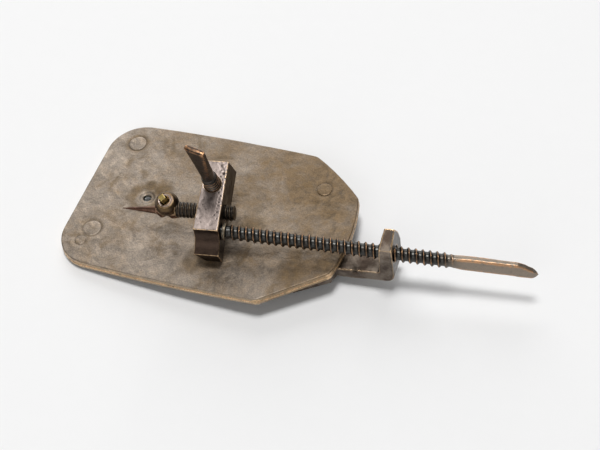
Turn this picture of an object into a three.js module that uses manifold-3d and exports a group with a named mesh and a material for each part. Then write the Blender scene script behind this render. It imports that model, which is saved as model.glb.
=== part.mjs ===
// Single-lens hand microscope: two riveted plates that hold a small bead lens, an angle bracket
// under them, a long screw that carries a stage block, a focusing screw and a specimen rod.
//
// Frame of the plates: millimetres, origin at the middle of the lens-end edge, +X to the handle,
// +Y across the plates and +Z out of the specimen side, with Z = 0 on the upper plate's face.
// The last group lays the whole instrument down on a level surface, +Z up, with the origin under
// the middle of its box.

import * as THREE from 'three';
import { mergeVertices } from 'three/addons/utils/BufferGeometryUtils.js';
import Module from 'manifold-3d';

const wasm = await Module();
wasm.setup();

// ---------------------------------------------------------------- driving dimensions (mm, deg)

// Plates
const plateLength = 47.4;
const plateHalfWidth = 15.3;
const plateSideBow = 0.35;         // the long sides are filed slightly convex
const plateCornerRadius = 6.3;
const shoulderInset = 10.7;        // handle end back to the start of the angled corners
const endCornerNear = [0.95, -7.6]; // back from the handle end, and the place across
const endCornerFar = [1.05, 8.0];  // the two corners differ a little
const farCornerBow = 0.62;
const plateThickness = 0.72;
const plateGap = 0.03;             // seam between the two plates

// Lens and its seat
const lensX = 11.3;
const lensY = 0.1;
const lensRadius = 1.15;
const lensThickness = 0.66;
const lensClearance = 0.05;
const apertureRadiusSpecimen = 0.68;
const apertureRadiusEye = 0.6;
const dishRadius = 3.3;
const dishDepth = 0.16;

// Rivets: x, y, shank radius, head radius
const rivetHeadHeight = 0.14;
const rivetClearance = 0.05;
const handleRivetInset = 7.2;      // handle end back to the rivet there
const rivets = [
  { name: 'rivet_far_lens_end', x: 4.8, y: 11.06, shank: 0.95, head: 1.75 },
  { name: 'rivet_near_lens_end', x: 4.8, y: -8.3, shank: 0.95, head: 1.75 },
  { name: 'rivet_small_lens_end', x: 4.0, y: -11.1, shank: 0.55, head: 0.95 },
  { name: 'rivet_far_handle_end', x: plateLength - handleRivetInset, y: 8.6, shank: 0.8, head: 1.35 },
];

// Bracket: a flat palm and leg under the plates, bent up into a drilled upright
const pivotInset = 9.9;            // handle end back to the pivot
const pivotX = plateLength - pivotInset;
const pivotY = -4.1;
const bracketYaw = 7.0;
const bracketThickness = 2.0;
const bracketPlateGap = 0.04;      // running gap under the eye-side plate
const legHalfWidth = 2.45;
const palmHalfWidth = 6.6;
const palmBack = 4.8;              // pivot to the palm's back edge
const palmShoulder = 2.6;          // pivot to the palm's widest place
const palmFront = 8.2;             // pivot to where the palm meets the leg
const uprightX = 15.85;            // pivot to the upright's inner face, on the near side
const uprightThickness = 2.35;
const uprightLean = 0.3;           // the inner face leans out up to the near corner's height
const uprightLeanTop = 0.8;        // and faster above it
const uprightSkew = 0.1;           // the bend is a little out of square across the leg
const uprightNearHeight = 4.6;     // above the specimen face, near side
const uprightApexHeight = 6.7;
const uprightApexShare = 0.53;     // across the upright, near side to far side
const uprightShoulderHeight = 4.7;
const uprightShoulderShare = 0.8;
const uprightFarHeight = 1.8;
const bendRadius = 1.3;

// Pivot screw under the bracket
const pivotShankRadius = 1.1;
const pivotHeadRadius = 2.2;
const pivotHeadHeight = 0.75;
const pivotClearance = 0.07;
const pivotBite = 1.1;             // length of shank in the plates
const pivotSlotWidth = 0.45;
const pivotSlotDepth = 0.35;

// Long screw. Its axis starts at the stage block's handle-side face
const axisX = 28.63;
const axisY = -6.89;
const axisZ = 4.6;
const axisYaw = 9.2;
const axisSlope = 6.37;            // falls towards the handle
const threadRadius = 1.27;
const threadRootRadius = 0.965;
const threadPitch = 1.125;
const threadStart = 0.75;
const threadBeyond = 11.68;        // thread past the bracket's upright
const threadEnd = pivotX + uprightX - axisX + threadBeyond;
const journalRadius = 0.85;
const journalClearance = 0.06;
const bladeLength = 13.6;
const bladeHeight = 2.8;
const bladeThickness = 1.1;
const nutClearance = 0.1;          // round the thread in the bracket's hole

// Collar on the journal, and the peened end sunk in the stage block
const collarRadius = 1.42;
const collarWidth = 0.5;
const sideGap = 0.08;
const peenLength = 0.35;
const peenRadius = 1.1;

// Stage block. Its frame turns with the focusing tilt about the long screw
const blockTilt = 17.9;
const blockRoll = -4.9;            // the journal hole is drilled a little out of square
const blockWidth = 4.06;
const blockWidthFar = 3.76;
const blockLength = 11.8;
const blockHeight = 6.05;          // at the toe
const blockHeightFar = 5.95;
const blockFarSlant = 0.75;        // the far face leans out towards its foot
const blockAxisInset = 1.02;       // top near edge to the long screw's axis
const blockAxisDepth = 2.8;        // top face to the long screw's axis
const toeLength = 3.14;
const toeLipDepth = 3.15;

// Focusing screw
const focusInset = 7.8;            // top near edge to the focusing screw's axis
const focusRadius = 1.3;
const focusRootRadius = 1.05;
const focusPitch = 0.75;
const focusClearance = 0.08;
const focusThreadAbove = 4.6;      // thread that stands above the block
const focusHeight = 13.3;          // top of the thumb blade above the block
const focusBladeWidth = 3.4;
const focusBladeThickness = 0.95;
const focusTurnBase = -32.0;       // the thumb blade twists a little as it rises
const focusTurnTip = -18.0;
const focusTipGap = 0.22;          // tip to the plate

// Specimen rod with its ball head
const rodInset = 4.2;              // top near edge to the rod's axis
const rodDepth = 3.05;             // top face to the rod's axis
const rodRadius = 1.3;
const rodRootRadius = 1.13;
const rodPitch = 0.6;
const rodClearance = 0.08;
const rodOverhang = 1.6;           // past the handle-side face
const ballX = 9.65;                // handle-side face to the ball's centre
const ballRise = 0.5;
const ballShift = 0.65;
const ballRadius = 1.97;
const ballFlat = 1.42;             // centre to the flat on top

// Clamp peg and needle
const pegWidth = 0.95;
const pegClearance = 0.08;
const pegAbove = 1.25;
const pegDepth = 1.1;
const pegLean = 6.0;
const needleLength = 9.6;
const needleButtLength = 3.9;
const needleButtRadius = 0.88;
const needleRadius = 0.48;         // where the point leaves the butt
const needleLean = 1.0;
const needleDrop = 1.5;            // below the ball's centre
const needleShift = 1.0;           // to the near side of the ball's centre
const needleClearance = 0.06;

// ---------------------------------------------------------------- finishes

const finishes = {
  agedPlate: { color: 0x978a76, roughness: 0.5, metalness: 0.85 },
  darkBronze: { color: 0x6f6253, roughness: 0.48, metalness: 0.85 },
  gunmetal: { color: 0x4a4a4c, roughness: 0.42, metalness: 0.9 },
  wornScrew: { color: 0x5d5850, roughness: 0.4, metalness: 0.9 },
  brightBrass: { color: 0xc9a75a, roughness: 0.32, metalness: 0.95 },
  greyMetal: { color: 0x8b8a84, roughness: 0.5, metalness: 0.85 },
  copperPin: { color: 0x7d5f52, roughness: 0.42, metalness: 0.9 },
  glass: { color: 0xdde6e4, roughness: 0.05, metalness: 0.0 },
};

function finish(name) {
  return new THREE.MeshStandardMaterial(finishes[name]);
}

// ---------------------------------------------------------------- solids

function toSolid(geometry) {
  const bare = geometry.clone();
  bare.deleteAttribute('normal');
  bare.deleteAttribute('uv');
  const merged = mergeVertices(bare, 1e-4);
  return new wasm.Manifold(new wasm.Mesh({
    numProp: 3,
    vertProperties: new Float32Array(merged.attributes.position.array),
    triVerts: new Uint32Array(merged.index.array),
  }));
}

function toGeometry(solid) {
  const mesh = solid.getMesh();
  const geometry = new THREE.BufferGeometry();
  geometry.setAttribute('position', new THREE.BufferAttribute(new Float32Array(mesh.vertProperties), 3));
  geometry.setIndex(new THREE.BufferAttribute(new Uint32Array(mesh.triVerts), 1));
  geometry.computeVertexNormals();
  return geometry;
}

function piece(name, solid, finishName) {
  const mesh = new THREE.Mesh(toGeometry(solid), finish(finishName));
  mesh.name = name;
  return mesh;
}

function matrix(position, turn = [0, 0, 0], order = 'XYZ') {
  const angles = turn.map((value) => THREE.MathUtils.degToRad(value));
  const rotation = new THREE.Quaternion().setFromEuler(new THREE.Euler(...angles, order));
  const place = new THREE.Vector3(...position);
  return new THREE.Matrix4().compose(place, rotation, new THREE.Vector3(1, 1, 1));
}

function moved(geometry, position, turn = [0, 0, 0], order = 'XYZ') {
  return geometry.clone().applyMatrix4(matrix(position, turn, order));
}

// A round bar along +X from x0 to x1
function barAlongX(radius, x0, x1, sides = 24) {
  const bar = new THREE.CylinderGeometry(radius, radius, x1 - x0, sides);
  bar.rotateZ(-Math.PI / 2);
  return bar.translate((x0 + x1) / 2, 0, 0);
}

// A round bar along +Z from z0 to z1
function barAlongZ(radius, z0, z1, sides = 24) {
  const bar = new THREE.CylinderGeometry(radius, radius, z1 - z0, sides);
  bar.rotateX(Math.PI / 2);
  return bar.translate(0, 0, (z0 + z1) / 2);
}

// A turned piece about +Z from [radius, z] pairs that start and end on the axis
function turned(profile, sides = 24) {
  const lathe = new THREE.LatheGeometry(profile.map(([r, z]) => new THREE.Vector2(r, z)), sides);
  return lathe.rotateX(Math.PI / 2);
}

// Height of a rounded thread's flank, 1 on the crest and 0 along the root
function threadShape(phase) {
  const fromCrest = Math.abs(phase - Math.floor(phase) - 0.5) * 2;
  return THREE.MathUtils.smoothstep(fromCrest, 0.45, 0.9);
}

// A screw thread along +Z from z0 to z1, a cylinder whose wall follows the helix
function threadAlongZ(radius, rootRadius, pitch, z0, z1, sides, rowsPerTurn) {
  const rows = Math.ceil(((z1 - z0) / pitch) * rowsPerTurn);
  const wall = new THREE.CylinderGeometry(1, 1, z1 - z0, sides, rows);
  wall.rotateX(Math.PI / 2);
  wall.translate(0, 0, (z0 + z1) / 2);
  const place = wall.attributes.position;
  for (let i = 0; i < place.count; i += 1) {
    const x = place.getX(i);
    const y = place.getY(i);
    const z = place.getZ(i);
    const reach = Math.hypot(x, y);
    if (reach > 0.5) {
      const turn = Math.atan2(y, x) / (2 * Math.PI);
      const runOut = Math.min(1, Math.min(z - z0, z1 - z) / (0.5 * pitch));
      const rise = threadShape(z / pitch - turn) * Math.max(0, runOut);
      const wanted = rootRadius + (radius - rootRadius) * rise;
      place.setXYZ(i, (x / reach) * wanted, (y / reach) * wanted, z);
    }
  }
  return wall;
}

function extruded(points, depth) {
  const shape = new THREE.Shape(points.map(([u, v]) => new THREE.Vector2(u, v)));
  return new THREE.ExtrudeGeometry(shape, { depth, bevelEnabled: false });
}

// ---------------------------------------------------------------- plates and lens

function plateOutline() {
  const half = plateHalfWidth;
  const r = plateCornerRadius;
  const shoulderLength = plateLength - shoulderInset;
  const bowX = (r + shoulderLength) / 2;
  const [nearInset, nearY] = endCornerNear;
  const [farInset, farY] = endCornerFar;
  const nearX = plateLength - nearInset;
  const farX = plateLength - farInset;
  const shape = new THREE.Shape();
  shape.moveTo(0, -(half - r));
  shape.absarc(r, -(half - r), r, Math.PI, 1.5 * Math.PI, false);
  shape.quadraticCurveTo(bowX, -(half + 2 * plateSideBow), shoulderLength, -half);
  shape.lineTo(nearX, nearY);
  shape.quadraticCurveTo(2 * plateLength - (nearX + farX) / 2, (nearY + farY) / 2, farX, farY);
  const bow = (2 * farCornerBow) / Math.hypot(farX - shoulderLength, half - farY);
  const midX = (farX + shoulderLength) / 2 + bow * (half - farY);
  const midY = (half + farY) / 2 + bow * (farX - shoulderLength);
  shape.quadraticCurveTo(midX, midY, shoulderLength, half);
  shape.quadraticCurveTo(bowX, half + 2 * plateSideBow, r, half);
  shape.absarc(r, half - r, r, 0.5 * Math.PI, Math.PI, false);
  return shape;
}

function plateBlank(topZ) {
  const options = { depth: plateThickness, bevelEnabled: false, curveSegments: 12 };
  const blank = new THREE.ExtrudeGeometry(plateOutline(), options);
  return toSolid(blank.translate(0, 0, topZ - plateThickness));
}

const eyePlateTop = -(plateThickness + plateGap);
const stackBottom = eyePlateTop - plateThickness;
const lensMiddle = (eyePlateTop + -plateThickness) / 2;

// A shallow hammered dish round the lens, opening towards +Z when side is 1
function lensDish(faceZ, side) {
  const sphereRadius = (dishRadius ** 2 + dishDepth ** 2) / (2 * dishDepth);
  const profile = [[0, -dishDepth]];
  for (let i = 1; i <= 5; i += 1) {
    const r = (dishRadius * i) / 5;
    const z = sphereRadius - dishDepth - Math.sqrt(sphereRadius ** 2 - r ** 2);
    profile.push([r, z]);
  }
  profile.push([dishRadius, 0.5], [0, 0.5]);
  const dish = turned(profile, 28);
  return side > 0 ? moved(dish, [lensX, lensY, faceZ]) : moved(dish, [lensX, lensY, faceZ], [180, 0, 0]);
}

function lensPocket() {
  const half = lensThickness / 2 + lensClearance;
  const radius = lensRadius + lensClearance;
  return moved(barAlongZ(radius, lensMiddle - half, lensMiddle + half), [lensX, lensY, 0]);
}

function drillPlate(blank) {
  let plate = blank;
  for (const rivet of rivets) {
    const hole = barAlongZ(rivet.shank + rivetClearance, stackBottom - 1, 1);
    plate = plate.subtract(toSolid(moved(hole, [rivet.x, rivet.y, 0])));
  }
  const pivotHole = barAlongZ(pivotShankRadius + pivotClearance, stackBottom - 1, stackBottom + pivotBite + 0.1);
  plate = plate.subtract(toSolid(moved(pivotHole, [pivotX, pivotY, 0])));
  return plate.subtract(toSolid(lensPocket()));
}

function specimenPlate() {
  let plate = drillPlate(plateBlank(0));
  const aperture = moved(barAlongZ(apertureRadiusSpecimen, lensMiddle, 1), [lensX, lensY, 0]);
  plate = plate.subtract(toSolid(lensDish(0, 1)));
  return plate.subtract(toSolid(aperture));
}

function eyePlate() {
  let plate = drillPlate(plateBlank(eyePlateTop));
  const aperture = moved(barAlongZ(apertureRadiusEye, stackBottom - 1, lensMiddle), [lensX, lensY, 0]);
  plate = plate.subtract(toSolid(lensDish(stackBottom, -1)));
  return plate.subtract(toSolid(aperture));
}

function lens() {
  const half = lensThickness / 2;
  const edge = 0.1;
  const sag = half - edge;
  const sphereRadius = (lensRadius ** 2 + sag ** 2) / (2 * sag);
  const upper = [];
  for (let i = 1; i < 6; i += 1) {
    const r = (lensRadius * i) / 6;
    upper.push([r, half - sphereRadius + Math.sqrt(sphereRadius ** 2 - r ** 2)]);
  }
  const lower = upper.map(([r, z]) => [r, -z]);
  const profile = [[0, -half], ...lower, [lensRadius, -edge], [lensRadius, edge], ...upper.reverse(), [0, half]];
  return toSolid(moved(turned(profile, 24), [lensX, lensY, lensMiddle]));
}

function rivetSolid(rivet) {
  const headGap = 0.03;
  const top = headGap + rivetHeadHeight;
  const bottom = stackBottom - top;
  const profile = [
    [0, bottom],
    [rivet.head * 0.7, bottom],
    [rivet.head, stackBottom - headGap - 0.02],
    [rivet.head, stackBottom - headGap],
    [rivet.shank, stackBottom - headGap],
    [rivet.shank, headGap],
    [rivet.head, headGap],
    [rivet.head, headGap + 0.02],
    [rivet.head * 0.7, top],
    [0, top],
  ];
  return toSolid(moved(turned(profile, 20), [rivet.x, rivet.y, 0]));
}

// ---------------------------------------------------------------- bracket and its pivot screw

const bracketTop = stackBottom - bracketPlateGap;
const bracketBottom = bracketTop - bracketThickness;

// Matrices from each moving group's frame into the plates' frame
const bracketPlace = matrix([pivotX, pivotY, 0], [0, 0, bracketYaw]);
const axisPlace = matrix([axisX, axisY, axisZ], [0, axisSlope, axisYaw], 'ZYX');
const axisInBracket = bracketPlace.clone().invert().multiply(axisPlace);

function bracketSide() {
  const outer = uprightX + uprightThickness;
  const top = uprightApexHeight + 1;
  const shape = new THREE.Shape();
  shape.moveTo(0, bracketBottom);
  shape.lineTo(outer - bendRadius, bracketBottom);
  shape.absarc(outer - bendRadius, bracketBottom + bendRadius, bendRadius, -Math.PI / 2, 0, false);
  shape.lineTo(outer, top);
  shape.lineTo(uprightX + uprightLeanTop, top);
  shape.lineTo(uprightX + uprightLean, uprightNearHeight);
  shape.lineTo(uprightX, bracketTop);
  shape.lineTo(0, bracketTop);
  const side = new THREE.ExtrudeGeometry(shape, { depth: 2 * legHalfWidth, bevelEnabled: false, curveSegments: 6 });
  side.rotateX(Math.PI / 2);
  side.translate(0, legHalfWidth, 0);
  const place = side.attributes.position;
  for (let i = 0; i < place.count; i += 1) {
    if (place.getX(i) > uprightX / 2) {
      place.setX(i, place.getX(i) + uprightSkew * (place.getY(i) + legHalfWidth));
    }
  }
  return toSolid(side);
}

function bracketFront() {
  const across = (share) => legHalfWidth * (2 * share - 1);
  const front = extruded([
    [-legHalfWidth - 1, bracketBottom - 1],
    [legHalfWidth + 1, bracketBottom - 1],
    [legHalfWidth + 1, uprightFarHeight - 2.5],
    [legHalfWidth, uprightFarHeight],
    [across(uprightShoulderShare), uprightShoulderHeight],
    [across(uprightApexShare), uprightApexHeight],
    [-legHalfWidth + 0.35, uprightNearHeight],
    [-legHalfWidth, uprightNearHeight - 0.35],
    [-legHalfWidth - 1, uprightNearHeight - 1.4],
  ], uprightX + uprightThickness + 4);
  front.rotateY(Math.PI / 2);
  front.rotateX(Math.PI / 2);
  return toSolid(front.translate(-1, 0, 0));
}

function bracketPalm() {
  const near = [
    [-palmBack, -palmHalfWidth * 0.45],
    [-palmBack * 0.7, -palmHalfWidth * 0.8],
    [palmShoulder, -palmHalfWidth],
    [palmFront, -legHalfWidth * 1.6],
    [palmFront + 0.7, -legHalfWidth],
  ];
  const far = near.map(([x, y]) => [x, -y]).reverse();
  const palm = extruded([...near, ...far], bracketThickness);
  return toSolid(palm.translate(0, 0, bracketBottom));
}

function bracket() {
  const pivotHole = barAlongZ(pivotShankRadius + pivotClearance, bracketBottom - 1, bracketTop + 1);
  const nut = barAlongX(threadRadius + nutClearance, 15, 45, 32).applyMatrix4(axisInBracket);
  return bracketSide()
    .intersect(bracketFront())
    .add(bracketPalm())
    .subtract(toSolid(pivotHole))
    .subtract(toSolid(nut));
}

function pivotScrew() {
  const seat = bracketBottom - bracketPlateGap;
  const head = seat - pivotHeadHeight;
  const profile = [
    [0, head],
    [pivotHeadRadius - 0.2, head],
    [pivotHeadRadius, head + 0.2],
    [pivotHeadRadius, seat],
    [pivotShankRadius, seat],
    [pivotShankRadius, stackBottom + pivotBite],
    [0, stackBottom + pivotBite],
  ];
  const slot = new THREE.BoxGeometry(2 * pivotHeadRadius + 1, pivotSlotWidth, 2 * pivotSlotDepth);
  return toSolid(turned(profile, 24)).subtract(toSolid(moved(slot, [0, 0, head], [0, 0, 35])));
}

// ---------------------------------------------------------------- long screw

const peenStart = -(blockWidth - 0.2);

function longScrew() {
  const thread = threadAlongZ(threadRadius, threadRootRadius, threadPitch, threadStart, threadEnd, 14, 5);
  thread.rotateY(Math.PI / 2);
  const journal = barAlongX(journalRadius, peenStart, threadStart + 0.2, 20);
  const peen = barAlongX(peenRadius, peenStart, peenStart + peenLength, 20);
  return toSolid(thread).add(toSolid(journal)).add(toSolid(peen)).add(screwBlade());
}

// The flattened grip: its clipped tip lies low, and both ends ease into the thread
function screwBlade() {
  const half = bladeHeight / 2;
  const end = threadEnd + bladeLength;
  const blade = extruded([
    [threadEnd - 1.2, -threadRootRadius * 0.8],
    [threadEnd + 0.4, -half * 0.93],
    [threadEnd + 3, -half],
    [end - 2.2, -half],
    [end - 0.5, -half * 0.78],
    [end, -half * 0.4],
    [end - 0.9, half * 0.5],
    [end - 2.6, half],
    [threadEnd + 3, half],
    [threadEnd + 0.4, half * 0.93],
    [threadEnd - 1.2, threadRootRadius * 0.8],
  ], bladeThickness);
  blade.rotateX(Math.PI / 2);
  return toSolid(blade.translate(0, bladeThickness / 2, 0));
}

function screwCollar() {
  const end = threadStart - sideGap;
  const bore = barAlongX(journalRadius + journalClearance, end - 2, end + 1, 24);
  return toSolid(barAlongX(collarRadius, end - collarWidth, end, 24)).subtract(toSolid(bore));
}

// ---------------------------------------------------------------- stage block
// Block frame: origin on the long screw's axis at the handle-side face, x towards the handle,
// y along the block to its far end, z out of its top face.

const blockPlace = matrix([0, 0, 0], [blockTilt, blockRoll, 0], 'YXZ');
const axisInBlock = blockPlace.clone().invert();
const blockTop = blockAxisDepth;
const blockBottom = blockTop - blockHeight;
const blockNear = -blockAxisInset;
const blockFar = blockLength - blockAxisInset;

function blockSection() {
  const shape = new THREE.Shape();
  shape.moveTo(blockNear, blockTop);
  const lipY = blockNear - toeLength;
  const lipZ = blockTop - toeLipDepth;
  shape.bezierCurveTo(blockNear - 0.1, blockTop - 1.9, lipY + 1.7, lipZ + 0.25, lipY, lipZ);
  shape.lineTo(lipY, blockBottom);
  shape.lineTo(blockFar + blockFarSlant, blockTop - blockHeightFar);
  shape.lineTo(blockFar, blockTop);
  return shape;
}

function blockBlank() {
  const options = { depth: blockWidth, bevelEnabled: false, curveSegments: 8 };
  const blank = new THREE.ExtrudeGeometry(blockSection(), options);
  blank.rotateX(Math.PI / 2);
  blank.rotateZ(Math.PI / 2);
  const place = blank.attributes.position;
  blank.computeBoundingBox();
  const shift = -blank.boundingBox.max.x;
  for (let i = 0; i < place.count; i += 1) {
    const x = place.getX(i) + shift;
    const along = (place.getY(i) - blockNear) / blockLength;
    const width = THREE.MathUtils.lerp(blockWidth, blockWidthFar, THREE.MathUtils.clamp(along, 0, 1));
    place.setX(i, (x * width) / blockWidth);
  }
  return toSolid(blank);
}

const focusY = focusInset - blockAxisInset;
const focusX = -blockWidth / 2;
const rodY = rodInset - blockAxisInset;
const rodZ = blockTop - rodDepth;

function stageBlock() {
  const journalHole = barAlongX(journalRadius + journalClearance, -blockWidth - 2, 2, 24);
  const peenEnd = peenStart + peenLength + sideGap;
  const sunkHole = barAlongX(peenRadius + sideGap, -blockWidth - 2, peenEnd, 24);
  const focusHole = barAlongZ(focusRadius + focusClearance, blockBottom - 1, blockTop + 1, 28);
  const rodHole = barAlongX(rodRadius + rodClearance, -blockWidth - 2, 2, 28);
  return blockBlank()
    .subtract(toSolid(journalHole.applyMatrix4(axisInBlock)))
    .subtract(toSolid(sunkHole.applyMatrix4(axisInBlock)))
    .subtract(toSolid(moved(focusHole, [focusX, focusY, 0])))
    .subtract(toSolid(moved(rodHole, [0, rodY, rodZ])));
}

// ---------------------------------------------------------------- focusing screw

const blockInPlates = axisPlace.clone().multiply(blockPlace);

// Length below the block's top at which the tip comes down to the plate
function focusReach() {
  const high = new THREE.Vector3(focusX, focusY, 0).applyMatrix4(blockInPlates);
  const low = new THREE.Vector3(focusX, focusY, -1).applyMatrix4(blockInPlates);
  return -(high.z - focusTipGap) / (high.z - low.z);
}

function focusScrew() {
  const tip = focusReach();
  const threadTop = blockTop + focusThreadAbove;
  const thread = threadAlongZ(focusRadius, focusRootRadius, focusPitch, tip + 0.9, threadTop, 14, 4);
  const point = turned([[0, tip], [0.35, tip], [focusRootRadius, tip + 1.1], [0, tip + 1.1]], 16);
  return toSolid(thread).add(toSolid(point)).add(focusBlade(threadTop));
}

// The thumb blade: flattened along x, twisted as it rises
function focusBlade(base) {
  const top = blockTop + focusHeight;
  const start = base - 1.2;
  const blade = new THREE.BoxGeometry(1, 1, top - start, 1, 1, 8);
  blade.translate(0, 0, (top + start) / 2);
  const place = blade.attributes.position;
  for (let i = 0; i < place.count; i += 1) {
    const z = place.getZ(i);
    const t = (z - start) / (top - start);
    const flat = THREE.MathUtils.smoothstep(t, 0, 0.85);
    const width = THREE.MathUtils.lerp(focusRootRadius * 1.45, focusBladeWidth, flat);
    const thickness = THREE.MathUtils.lerp(focusRootRadius * 1.45, focusBladeThickness, flat);
    const turn = THREE.MathUtils.degToRad(THREE.MathUtils.lerp(focusTurnBase, focusTurnTip, t));
    const x = place.getX(i) * width;
    const y = place.getY(i) * thickness * (t > 0.97 ? 0.75 : 1);
    place.setX(i, x * Math.cos(turn) - y * Math.sin(turn));
    place.setY(i, x * Math.sin(turn) + y * Math.cos(turn));
  }
  return toSolid(blade);
}

// ---------------------------------------------------------------- specimen rod, peg and needle
// Rod frame: origin on the rod's axis at the block's handle-side face.

const ballPlace = [-ballX, ballShift, ballRise];
const needleY = ballShift - needleShift;
const needleZ = ballRise - needleDrop;

function pegBar(width, z0, z1) {
  const bar = new THREE.BoxGeometry(width, width, z1 - z0);
  bar.rotateZ(Math.PI / 4);
  bar.translate(0, 0, (z0 + z1) / 2);
  return moved(bar, ballPlace, [0, -pegLean, 0]);
}

function needleBar(clearance, extra) {
  const neck = needleButtLength + 0.35;
  const bar = turned([
    [0, -extra],
    [needleButtRadius + clearance, -extra],
    [needleButtRadius + clearance, needleButtLength + clearance],
    [needleRadius + clearance, neck + clearance],
    [0.04 + clearance, needleLength],
    [0, needleLength],
  ], 16);
  const start = [-(ballX - needleButtLength / 2), needleY, needleZ];
  return moved(bar, start, [0, -90, -needleLean], 'ZYX');
}

function specimenRod() {
  const threadLow = -(ballX - 1.4);
  const thread = threadAlongZ(rodRadius, rodRootRadius, rodPitch, threadLow, rodOverhang, 14, 3);
  thread.rotateY(Math.PI / 2);
  const ball = new THREE.SphereGeometry(ballRadius, 24, 16);
  const cap = new THREE.BoxGeometry(3 * ballRadius, 3 * ballRadius, 2);
  const head = toSolid(moved(ball, ballPlace))
    .subtract(toSolid(moved(cap, [-ballX, ballShift, ballRise + ballFlat + 1])));
  return toSolid(thread)
    .add(head)
    .subtract(toSolid(pegBar(pegWidth + 2 * pegClearance, ballFlat - pegDepth, ballFlat + 3)))
    .subtract(toSolid(needleBar(needleClearance, 0.6)));
}

function clampPeg() {
  return toSolid(pegBar(pegWidth, ballFlat - pegDepth + 0.1, ballFlat + pegAbove));
}

function needle() {
  return toSolid(needleBar(0, 0));
}

// ---------------------------------------------------------------- assembly

function groupAt(place) {
  const group = new THREE.Group();
  place.decompose(group.position, group.quaternion, group.scale);
  return group;
}

function specimenGroup() {
  const group = groupAt(matrix([0, rodY, rodZ]));
  group.add(piece('specimen_rod', specimenRod(), 'gunmetal'));
  group.add(piece('clamp_peg', clampPeg(), 'brightBrass'));
  group.add(piece('needle', needle(), 'copperPin'));
  return group;
}

function focusGroup() {
  const group = groupAt(matrix([focusX, focusY, 0]));
  group.add(piece('focus_screw', focusScrew(), 'wornScrew'));
  return group;
}

function blockGroup() {
  const group = groupAt(blockPlace);
  group.add(piece('stage_block', stageBlock(), 'darkBronze'));
  group.add(focusGroup());
  group.add(specimenGroup());
  return group;
}

function screwGroup() {
  const group = groupAt(axisInBracket);
  group.add(piece('long_screw', longScrew(), 'gunmetal'));
  group.add(piece('screw_collar', screwCollar(), 'greyMetal'));
  group.add(blockGroup());
  return group;
}

function bracketGroup() {
  const group = groupAt(bracketPlace);
  group.add(piece('bracket', bracket(), 'darkBronze'));
  group.add(screwGroup());
  return group;
}

function plateGroup() {
  const group = new THREE.Group();
  group.add(piece('plate_specimen_side', specimenPlate(), 'agedPlate'));
  group.add(piece('plate_eye_side', eyePlate(), 'agedPlate'));
  group.add(piece('lens', lens(), 'glass'));
  for (const rivet of rivets) {
    group.add(piece(rivet.name, rivetSolid(rivet), 'agedPlate'));
  }
  const pivot = groupAt(matrix([pivotX, pivotY, 0]));
  pivot.add(piece('pivot_screw', pivotScrew(), 'wornScrew'));
  group.add(pivot);
  group.add(bracketGroup());
  return group;
}

// Laid down, the instrument rests on the lens-end edge and on the pivot screw's head
function laidDown() {
  const head = bracketBottom - bracketPlateGap - pivotHeadHeight;
  const rest = Math.atan2(stackBottom - head, pivotX - pivotHeadRadius);
  const leaning = new THREE.Group();
  leaning.rotation.y = -rest;
  leaning.add(plateGroup());
  const microscope = new THREE.Group();
  microscope.add(leaning);
  microscope.updateMatrixWorld(true);
  const box = new THREE.Box3().setFromObject(microscope, true);
  leaning.position.set(-(box.min.x + box.max.x) / 2, -(box.min.y + box.max.y) / 2, -box.min.z);
  return microscope;
}

export default laidDown();
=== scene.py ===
import math

import bmesh
import bpy
import numpy as np
from bpy.props import FloatProperty, FloatVectorProperty, PointerProperty
from mathutils import Matrix, Vector, noise


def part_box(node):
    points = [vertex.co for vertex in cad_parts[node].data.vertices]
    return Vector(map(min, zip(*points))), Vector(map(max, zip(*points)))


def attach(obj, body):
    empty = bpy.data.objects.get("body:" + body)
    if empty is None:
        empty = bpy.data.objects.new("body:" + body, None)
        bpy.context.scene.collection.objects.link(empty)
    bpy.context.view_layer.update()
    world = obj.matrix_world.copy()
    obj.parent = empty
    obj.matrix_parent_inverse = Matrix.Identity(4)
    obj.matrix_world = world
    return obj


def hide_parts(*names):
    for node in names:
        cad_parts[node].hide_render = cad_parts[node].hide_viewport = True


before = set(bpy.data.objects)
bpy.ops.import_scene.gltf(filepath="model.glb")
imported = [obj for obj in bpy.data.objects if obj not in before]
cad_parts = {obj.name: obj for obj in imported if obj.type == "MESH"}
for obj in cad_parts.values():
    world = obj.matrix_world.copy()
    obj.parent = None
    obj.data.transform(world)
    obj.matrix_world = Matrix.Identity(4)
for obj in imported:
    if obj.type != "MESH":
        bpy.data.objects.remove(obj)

bl_info = {
    "name": "Single-lens hand microscope",
    "version": (1, 0, 0),
    "blender": (4, 5, 0),
    "location": "3D View > Sidebar > Microscope",
    "description": "Builds a hand microscope of riveted bronze plates, screws and a needle stage",
    "category": "Object",
}

MM = 0.001

# ---------------------------------------------------------------- places (mm, deg)
# Each moving group has its own frame, so a piece is shaped where its maker would hold it.

LENS_CENTRE = Vector((11.3, 0.1, -0.735))
PLATE_LEAN = 4.583          # laid down, the handle end stands higher than the lens end


def turned(axis, degrees):
    return Matrix.Rotation(math.radians(degrees), 4, axis)


def shifted(x, y, z):
    return Matrix.Translation((x, y, z))


def plates_place():
    """The plates' frame: origin at the lens end, +X to the handle, z = 0 on the specimen face."""
    low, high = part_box("lens")
    lean = turned("Y", -PLATE_LEAN)
    middle = (low + high) / 2 / MM
    return shifted(*(middle - lean @ LENS_CENTRE)) @ lean


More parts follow.
